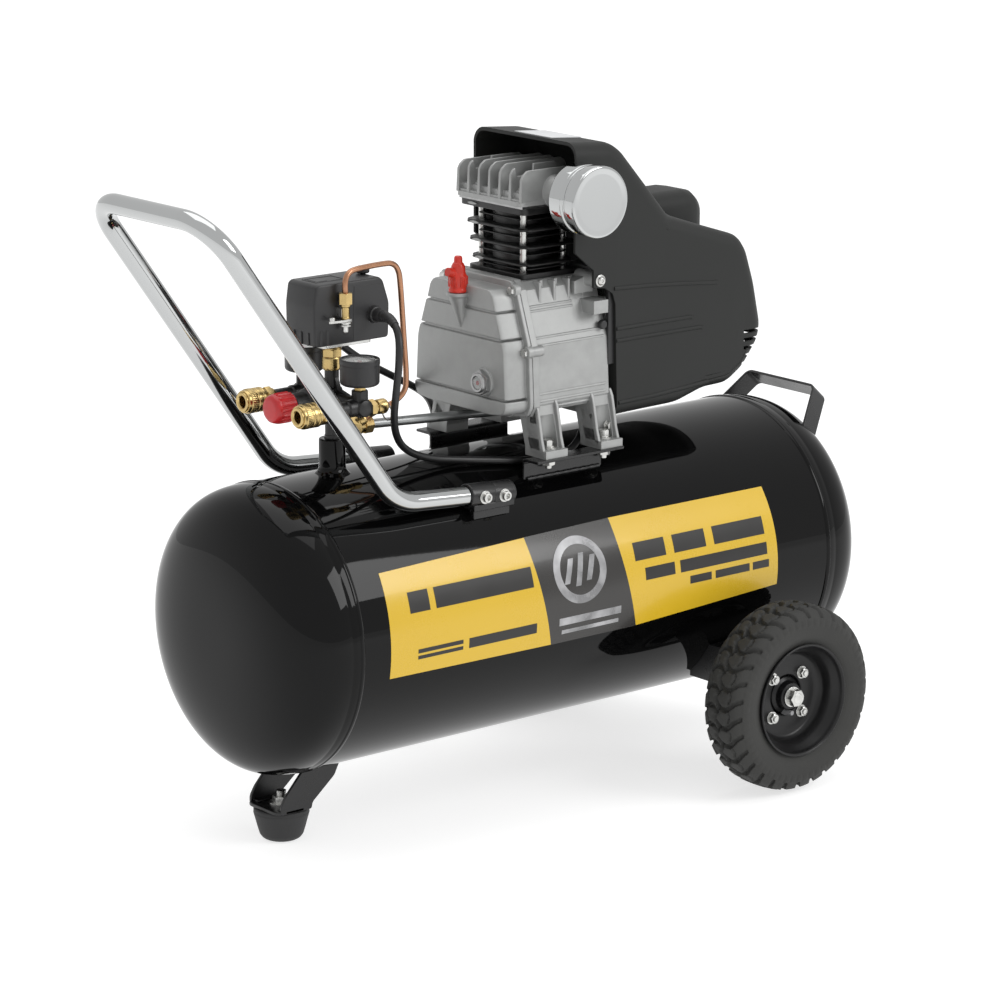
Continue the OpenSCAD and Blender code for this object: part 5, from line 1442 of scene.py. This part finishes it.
def make_manifold():
    bm = bmesh.new()
    up, across, along = (0, 0, 1), (0, 1, 0), (1, 0, 0)
    at = (RISER_X, 0, 0)
    lathe_into(bm,
               rounded([(402, 0), (402, 7.95), (424, 7.95), (424, 7.4), (437, 7.4), (437, 10.4), (439, 11),
                            (472, 11), (474, 10.2), (474, 7.5), (493, 7.5), (493, 0)], 0.5), at, up, 48)
    lathe_into(bm, [(-58, 0), (-58, 8.2), (-57.2, 9), (57.2, 9), (58, 8.2), (58, 0)], (RISER_X, 0, BAR_Z),
               across, 40)
    for side in (-1, 1):
        y = side * BRANCH_Y
        lathe_into(bm, rounded([(452, 0), (452, 7.4), (457, 8.4), (477.5, 8.4), (479, 7.8), (479, 0)], 0.5),
                   (RISER_X, y, 0), up, 36)
        hex_into(bm, 16, 469, 478.8, (RISER_X, y, 0), up, chamfer=0.6)
        lathe_into(bm,
                   rounded([(-289, 0), (-289, 7.8), (-266, 7.8), (-264, 9.2), (-254, 9.2), (-250, 8),
                            (-240, 8),
                                (-240, 0)], 0.6), (0, y, BAR_Z), along, 36)
    lathe_into(bm, rounded([(-249, 0), (-249, 8), (-236, 8), (-236, 0)], 0.5), (0, -BRANCH_Y, 458), along, 32)
    # Regulator: body, bonnet and the stem under the knob
    lathe_into(bm,
               rounded([(-247, 0), (-250, 14), (-254, 17), (-277, 17), (-279, 15.6), (-282, 15.6), (-283, 13),
                            (-299, 13), (-300, 12), (-300, 5), (-321, 5), (-321, 0)], 0.8),
               (0, 0, BAR_Z), along, 56)
    # Cast ribs from the cross bar to the socket
    for side in (-1, 1):
        rows = []
        for x in (-249.5, -244.5):
            rows.append([(x, side * 8, 486), (x, side * 13, 474), (x, side * 40, 467.5), (x, side * 40, 461),
                         (x, side * 8, 461)])
        loft(bm, rows)
    piece("manifold_casting", bm, IRON, "black_iron", "manifold", bevel=0.4, bevel_angle=60)
    bm = bmesh.new()
    at = (RISER_X, 0, 0)
    lathe_into(bm, rounded([(493, 7.6), (493, 9.4), (495, 10), (505, 10), (507.2, 8.8), (507.2, 7)], 0.4),
               at, up, 40)
    hex_into(bm, 19, 507, 515, at, up, chamfer=1.0)
    lathe_into(bm, rounded([(514.8, 9), (514.8, 10.2), (516, 10.4), (517, 9.6), (520, 9.6), (520, 6)], 0.3),
               at, up, 40)
    for side in (-1, 1):
        at = (RISER_X, side * BRANCH_Y, 0)
        hex_into(bm, 11, 479, 483, at, up, chamfer=0.5)
        lathe_into(bm, [(483, 0), (483, 4.2), (484.6, 4.2), (484.6, 0)], at, up, 24)
    piece("fitting_nuts", bm, BRASS, "brass", "pipe_fittings")
    # Small adjusting screw beside the regulator
    bm = bmesh.new()
    bolt_into(bm, (-266, 0, BAR_Z + 16.4), (0, 0, 1), af=8, head=4, washer=5.2, washer_t=1.0)
    piece("regulator_screw", bm, ZINC, "zinc")


COVER_SIDE = [(-287, 524), (-191, 524), (-190, 560), (-198, 584), (-203, 588), (-281, 588), (-285, 585),
              (-288, 565)]


def make_switch():
    bm = bmesh.new()
    half = 24.5
    rows = []
    for y, shrink in ((-half, 2.2), (-half + 0.5, 1.0), (-half + 1.4, 0.3), (-half + 2.6, 0.0),
                      (half - 2.6, 0.0),
                      (half - 1.4, 0.3), (half - 0.5, 1.0), (half, 2.2)):
        cx, cz = -239.0, 556.0
        ring = []
        for x, z in soft_corners(COVER_SIDE, 4.0, 5):
            low = z < 526
            ring.append((x + (cx - x) / 49.0 * shrink, y, z if low else z + (cz - z) / 32.0 * shrink))
        rows.append(ring)
    loft(bm, rows)
    piece("switch_hood", bm, PLASTIC, "black_plastic", "switch_cover")
    bm = bmesh.new()
    for side in (-1, 1):
        # Step down the long sides, and the ribs by the front corners
        side_prism(bm, [(-238, 524.6), (-194, 524.6), (-193.5, 560), (-200, 580.5), (-236.5, 582.5)], side,
                   half - 1.0, half + 0.35)
        for x in (-279, -271):
            side_prism(bm,
                       soft_corners([(x - 1.6, 525), (x + 1.6, 525), (x + 1.6, 540), (x - 1.6, 540)], 1.4, 3),
                       side, half - 1.0, half + 0.5)
    for y in (-14, -2, 10):
        prism_into(bm, soft_corners([(y - 1.5, 525), (y + 1.5, 525), (y + 1.5, 538), (y - 1.5, 538)], 1.3, 3),
                   -288.5, -286, "x")
    # Raised frame and rocker on the top
    for x0, x1, y0, y1 in ((-276, -238, -12, -10.4), (-276, -238, 10.4, 12), (-276, -274.4, -10.4, 10.4),
                           (-239.6, -238, -10.4, 10.4)):
        box_into(bm, (x0, x1), (y0, y1), (587.2, 588.5))
    box_into(bm, (-272, -258), (-8, 8), (587.2, 588.4))
    piece("switch_trim", bm, PLASTIC, "black_plastic", bevel=0.3)
    bm = bmesh.new()
    plate = soft_corners([(-272, -20.5), (-211, -20.5), (-211, 20.5), (-272, 20.5)], 3, 4)
    prism_into(bm, plate, 520, 523.7, "z")
    piece("switch_plate", bm, ZINC, "zinc", "switch_base", bevel=0.3)
    bm = bmesh.new()
    box_into(bm, (-266, -216), (-15, 15), (523.7, 562))
    for side in (-1, 1):
        lathe_into(bm,
                   rounded([(18.5, 0), (18.5, 9.2), (25.5, 9.2), (26.5, 8.6), (29.5, 8.4), (30, 7), (38, 6.4),
                                (38.6, 4.6), (38.6, 0)], 0.5), (GLAND_X, 0, GLAND_Z), (0, side, 0), 40)
    piece("switch_glands", bm, PLASTIC, "black_plastic", bevel=0.3, bevel_angle=60)
    knob = lathe("switch_button", rounded([(572, 0), (572, 3), (588.6, 3), (589, 6.2), (590, 7), (594.5, 7),
                                           (596, 5.8), (596, 0)], 0.6), (-206, 0, 0), (0, 0, 1), PLASTIC,
                 body="switch_knob", segs=40, smooth=35)
    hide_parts("switch_knob")


def make_unloader_valve():
    bm = bmesh.new()
    at, up = (-255, -34, 0), (0, 0, 1)
    hex_into(bm, 13, 567.4, 579, at, up, chamfer=0.8)
    lathe_into(bm,
               rounded([(552, 0), (552, 4.8), (554, 4.8), (554.4, 4.4), (564, 4.4), (565, 5.4), (567.6, 5.4),
                            (567.6, 0)], 0.3), at, up, 32)
    piece("unloader_body", bm, BRASS, "brass", "unloader_valve")
    bm = bmesh.new()
    plate = soft_corners([(-276, -35.5), (-262, -38), (-249, -38), (-249, -30), (-262, -30), (-276, -32.5)],
                         1.5, 3)
    prism_into(bm, plate, 549.2, 551.6, "z")
    lathe_into(bm,
               rounded([(537.5, 0), (537.5, 2.2), (538.5, 3), (544.4, 3), (544.4, 6), (546, 6), (546, 4.2),
                            (547.4, 4.2), (547.4, 6.2), (548.8, 6.2), (548.8, 0)], 0.25), at, up, 28)
    box_into(bm, (-260, -250), (-34, -24.2), (554, 563))
    lathe_into(bm, rounded([(0, 0), (0, 3), (3.5, 3), (4, 1.6), (4, 0)], 0.3), (-272, -34, 551.5), up, 20)
    piece("unloader_lever", bm, ZINC, "zinc", bevel=0.25)


def make_regulator_knob():
    """Fluted skirt that runs out into a smooth rounded face."""
    bm = bmesh.new()
    segs, flutes = 216, 18
    profile = [(-301.5, 0.0, 0), (-301.5, 15.0, 0.2), (-302.2, 15.8, 0.9), (-304, 16.0, 1.0),
               (-316, 16.0, 1.0),
               (-318.5, 15.8, 0.75), (-320.5, 15.4, 0.3), (-322.0, 15.0, 0.0), (-325.0, 13.9, 0.0),
               (-326.6, 12.2, 0.0),
               (-327.0, 9.0, 0.0), (-326.9, 0.0, 0)]
    rows = []
    for i in range(segs):
        a = TAU * i / segs
        wave = max(0.0, math.cos(flutes * a)) ** 2.5
        row = []
        for x, r, deep in profile:
            rr = r - 1.7 * deep * (1 - wave)
            row.append((x, rr * math.cos(a), BAR_Z + rr * math.sin(a)))
        rows.append(row)
    ring_grid(bm, rows)
    bmesh.ops.remove_doubles(bm, verts=bm.verts, dist=1e-4)
    piece("regulator_grip", bm, RED, "red_plastic", "regulator_knob", body="regulator_knob", smooth=38)


def make_gauges():
    cases, marks, dials = bmesh.new(), bmesh.new(), bmesh.new()
    for side in (-1, 1):
        y = side * BRANCH_Y
        at, up = (RISER_X, y, 0), (0, 0, 1)
        lathe_into(cases, rounded([(484.2, 0), (484.2, 17.4), (485.6, 19.6), (487.4, 20.4), (505.6, 20.6),
                                   (506.4, 21.0), (511, 21.0), (512, 20.4), (512, 19.3), (504.2, 19.2),
                                   (504.2, 0)],
                                  0.5), at, up, 96)
        lathe_into(dials, [(504.2, 0), (504.2, 18.9), (505.0, 18.9), (505.0, 0)], at, up, 64)
        for k in range(28):
            a = math.radians(225 - 270 * k / 27)
            long = k % 3 == 0
            r0, r1, w = (13.6 if long else 15.2), 17.2, (0.45 if long else 0.22)
            d, n = Vector((math.cos(a), math.sin(a), 0)), Vector((-math.sin(a), math.cos(a), 0))
            c = Vector((RISER_X, y, 505.0))
            quad = [c + d * r0 - n * w, c + d * r1 - n * w, c + d * r1 + n * w, c + d * r0 + n * w]
            loft(marks, [quad, [p + Vector((0, 0, 0.18)) for p in quad]])
        lathe_into(marks, [(505, 0), (505, 1.6), (506.2, 1.6), (506.2, 0)], at, up, 24)
    piece("gauge_cases", cases, PLASTIC, "black_plastic", "gauge_bodies")
    piece("gauge_dials", dials, DIAL, "white_plastic")
    finish_mesh("gauge_scales", marks, INK)
    paint("gauge_lenses", GLASS)
    paint("tank_needle", RED)
    paint("outlet_needle", RED)


def make_couplers():
    bodies = bmesh.new()
    for side in (-1, 1):
        at, axis = (0, side * BRANCH_Y, BAR_Z), (1, 0, 0)
        lathe_into(bodies,
                   rounded([(-304, 0), (-304, 6), (-326.6, 6), (-328, 7.2), (-328, 9.6), (-327.4, 10.4),
                                    (-299, 10.4), (-299, 0)], 0.35), at, axis, 64)
        hex_into(bodies, 21, -299.2, -291.5, at, axis, chamfer=1.0)
        lathe_into(bodies, rounded([(-292, 9), (-292, 9.8), (-289, 9.8), (-288.6, 8)], 0.3), at, axis, 40)
        bm = bmesh.new()
        lathe_into(bm,
                   rounded([(-303, 10.5), (-303, 12.2), (-304, 12.9), (-306.6, 12.9), (-307, 12.2),
                            (-308.4, 12.2),
                                (-308.8, 12.9), (-313, 12.9), (-313.4, 12.3), (-315, 12.3), (-315.4, 12.9),
                                (-322, 12.9), (-322.5, 12.2), (-324.6, 12.0), (-326, 11.6), (-326, 10.5)],
                                0.3),
                   at, axis, 96)
        for k in range(48):
            a = TAU * k / 48
            c, s = math.cos(a), math.sin(a)
            d, n = Vector((0, c, s)), Vector((0, -s, c))
            base = Vector((0, side * BRANCH_Y, BAR_Z)) + d * 12.7
            pts = [base - n * 0.45, base + d * 0.33, base + n * 0.45]
            loft(bm, [[p + Vector((x, 0, 0)) for p in pts] for x in (-321.6, -316.0)])
        label = "near_sleeve" if side < 0 else "far_sleeve"
        piece(label + "_collar", bm, BRASS, "brass", label, body=label)
    piece("coupler_fittings", bodies, BRASS, "brass", "coupler_bodies")


def make_safety_valve():
    bm = bmesh.new()
    at, axis = (0, -BRANCH_Y, 458), (1, 0, 0)
    hex_into(bm, 16, -236, -229.4, at, axis, chamfer=0.8)
    lathe_into(bm,
               rounded([(-229.6, 0), (-229.6, 6), (-227, 6), (-226.4, 7.6), (-220, 8), (-216, 8), (-214, 6.6),
                            (-214, 2.2), (-216, 2.1)], 0.4), at, axis, 48)
    for k in range(4):
        a = math.pi / 4 + math.pi / 2 * k
        lathe_into(bm, [(0, 0), (0, 1.3), (0.5, 1.3), (0.6, 0)],
                   (-221, -BRANCH_Y + 7.8 * math.cos(a), 458 + 7.8 * math.sin(a)),
                   (0, math.cos(a), math.sin(a)), 12)
    piece("relief_valve", bm, BRASS, "brass", "safety_valve")
    bm = bmesh.new()
    lathe_into(bm, rounded([(-224, 0), (-224, 2), (-210.4, 2), (-209, 1.4), (-209, 0)], 0.3), at, axis, 24)
    rows = []
    for i in range(48):
        a = TAU * i / 48
        d = Vector((0, math.cos(a), math.sin(a)))
        c = Vector((-211.3, -BRANCH_Y, 450.5)) + d * 8
        rows.append([c + d * 0.9 * math.cos(TAU * k / 12) + Vector((0.9 * math.sin(TAU * k / 12), 0, 0))
                     for k in range(12)])
    ring_grid(bm, rows, closed_u=True, closed_v=True)
    piece("relief_ring", bm, STEEL, "steel_parts", "safety_ring", body="safety_ring", smooth=50)


make_pipe()
make_check_valve()
make_manifold()
make_switch()
make_unloader_valve()
make_regulator_knob()
make_gauges()
make_couplers()
make_safety_valve()

# ------------------------------------------------------------------ carried-over CAD nodes

CARRIED = {
    CAST: ["crankcase", "motor_frame", "piston"],
    SATIN: ["axle_brackets"],
    STEEL: ["valve_plate", "crankshaft", "crank_bearings", "motor_rotor"],
    TUBE_AL: ["connecting_rod"],
    COILS: ["motor_stator"],
    WHITE: ["cooling_fan"],
    PLASTIC: ["run_capacitor"],
    FOAM: ["filter_element"],
    BRASS: ["drain_valve", "drain_screw"],
}
for finish, names in CARRIED.items():
    for name in names:
        paint(name, finish)
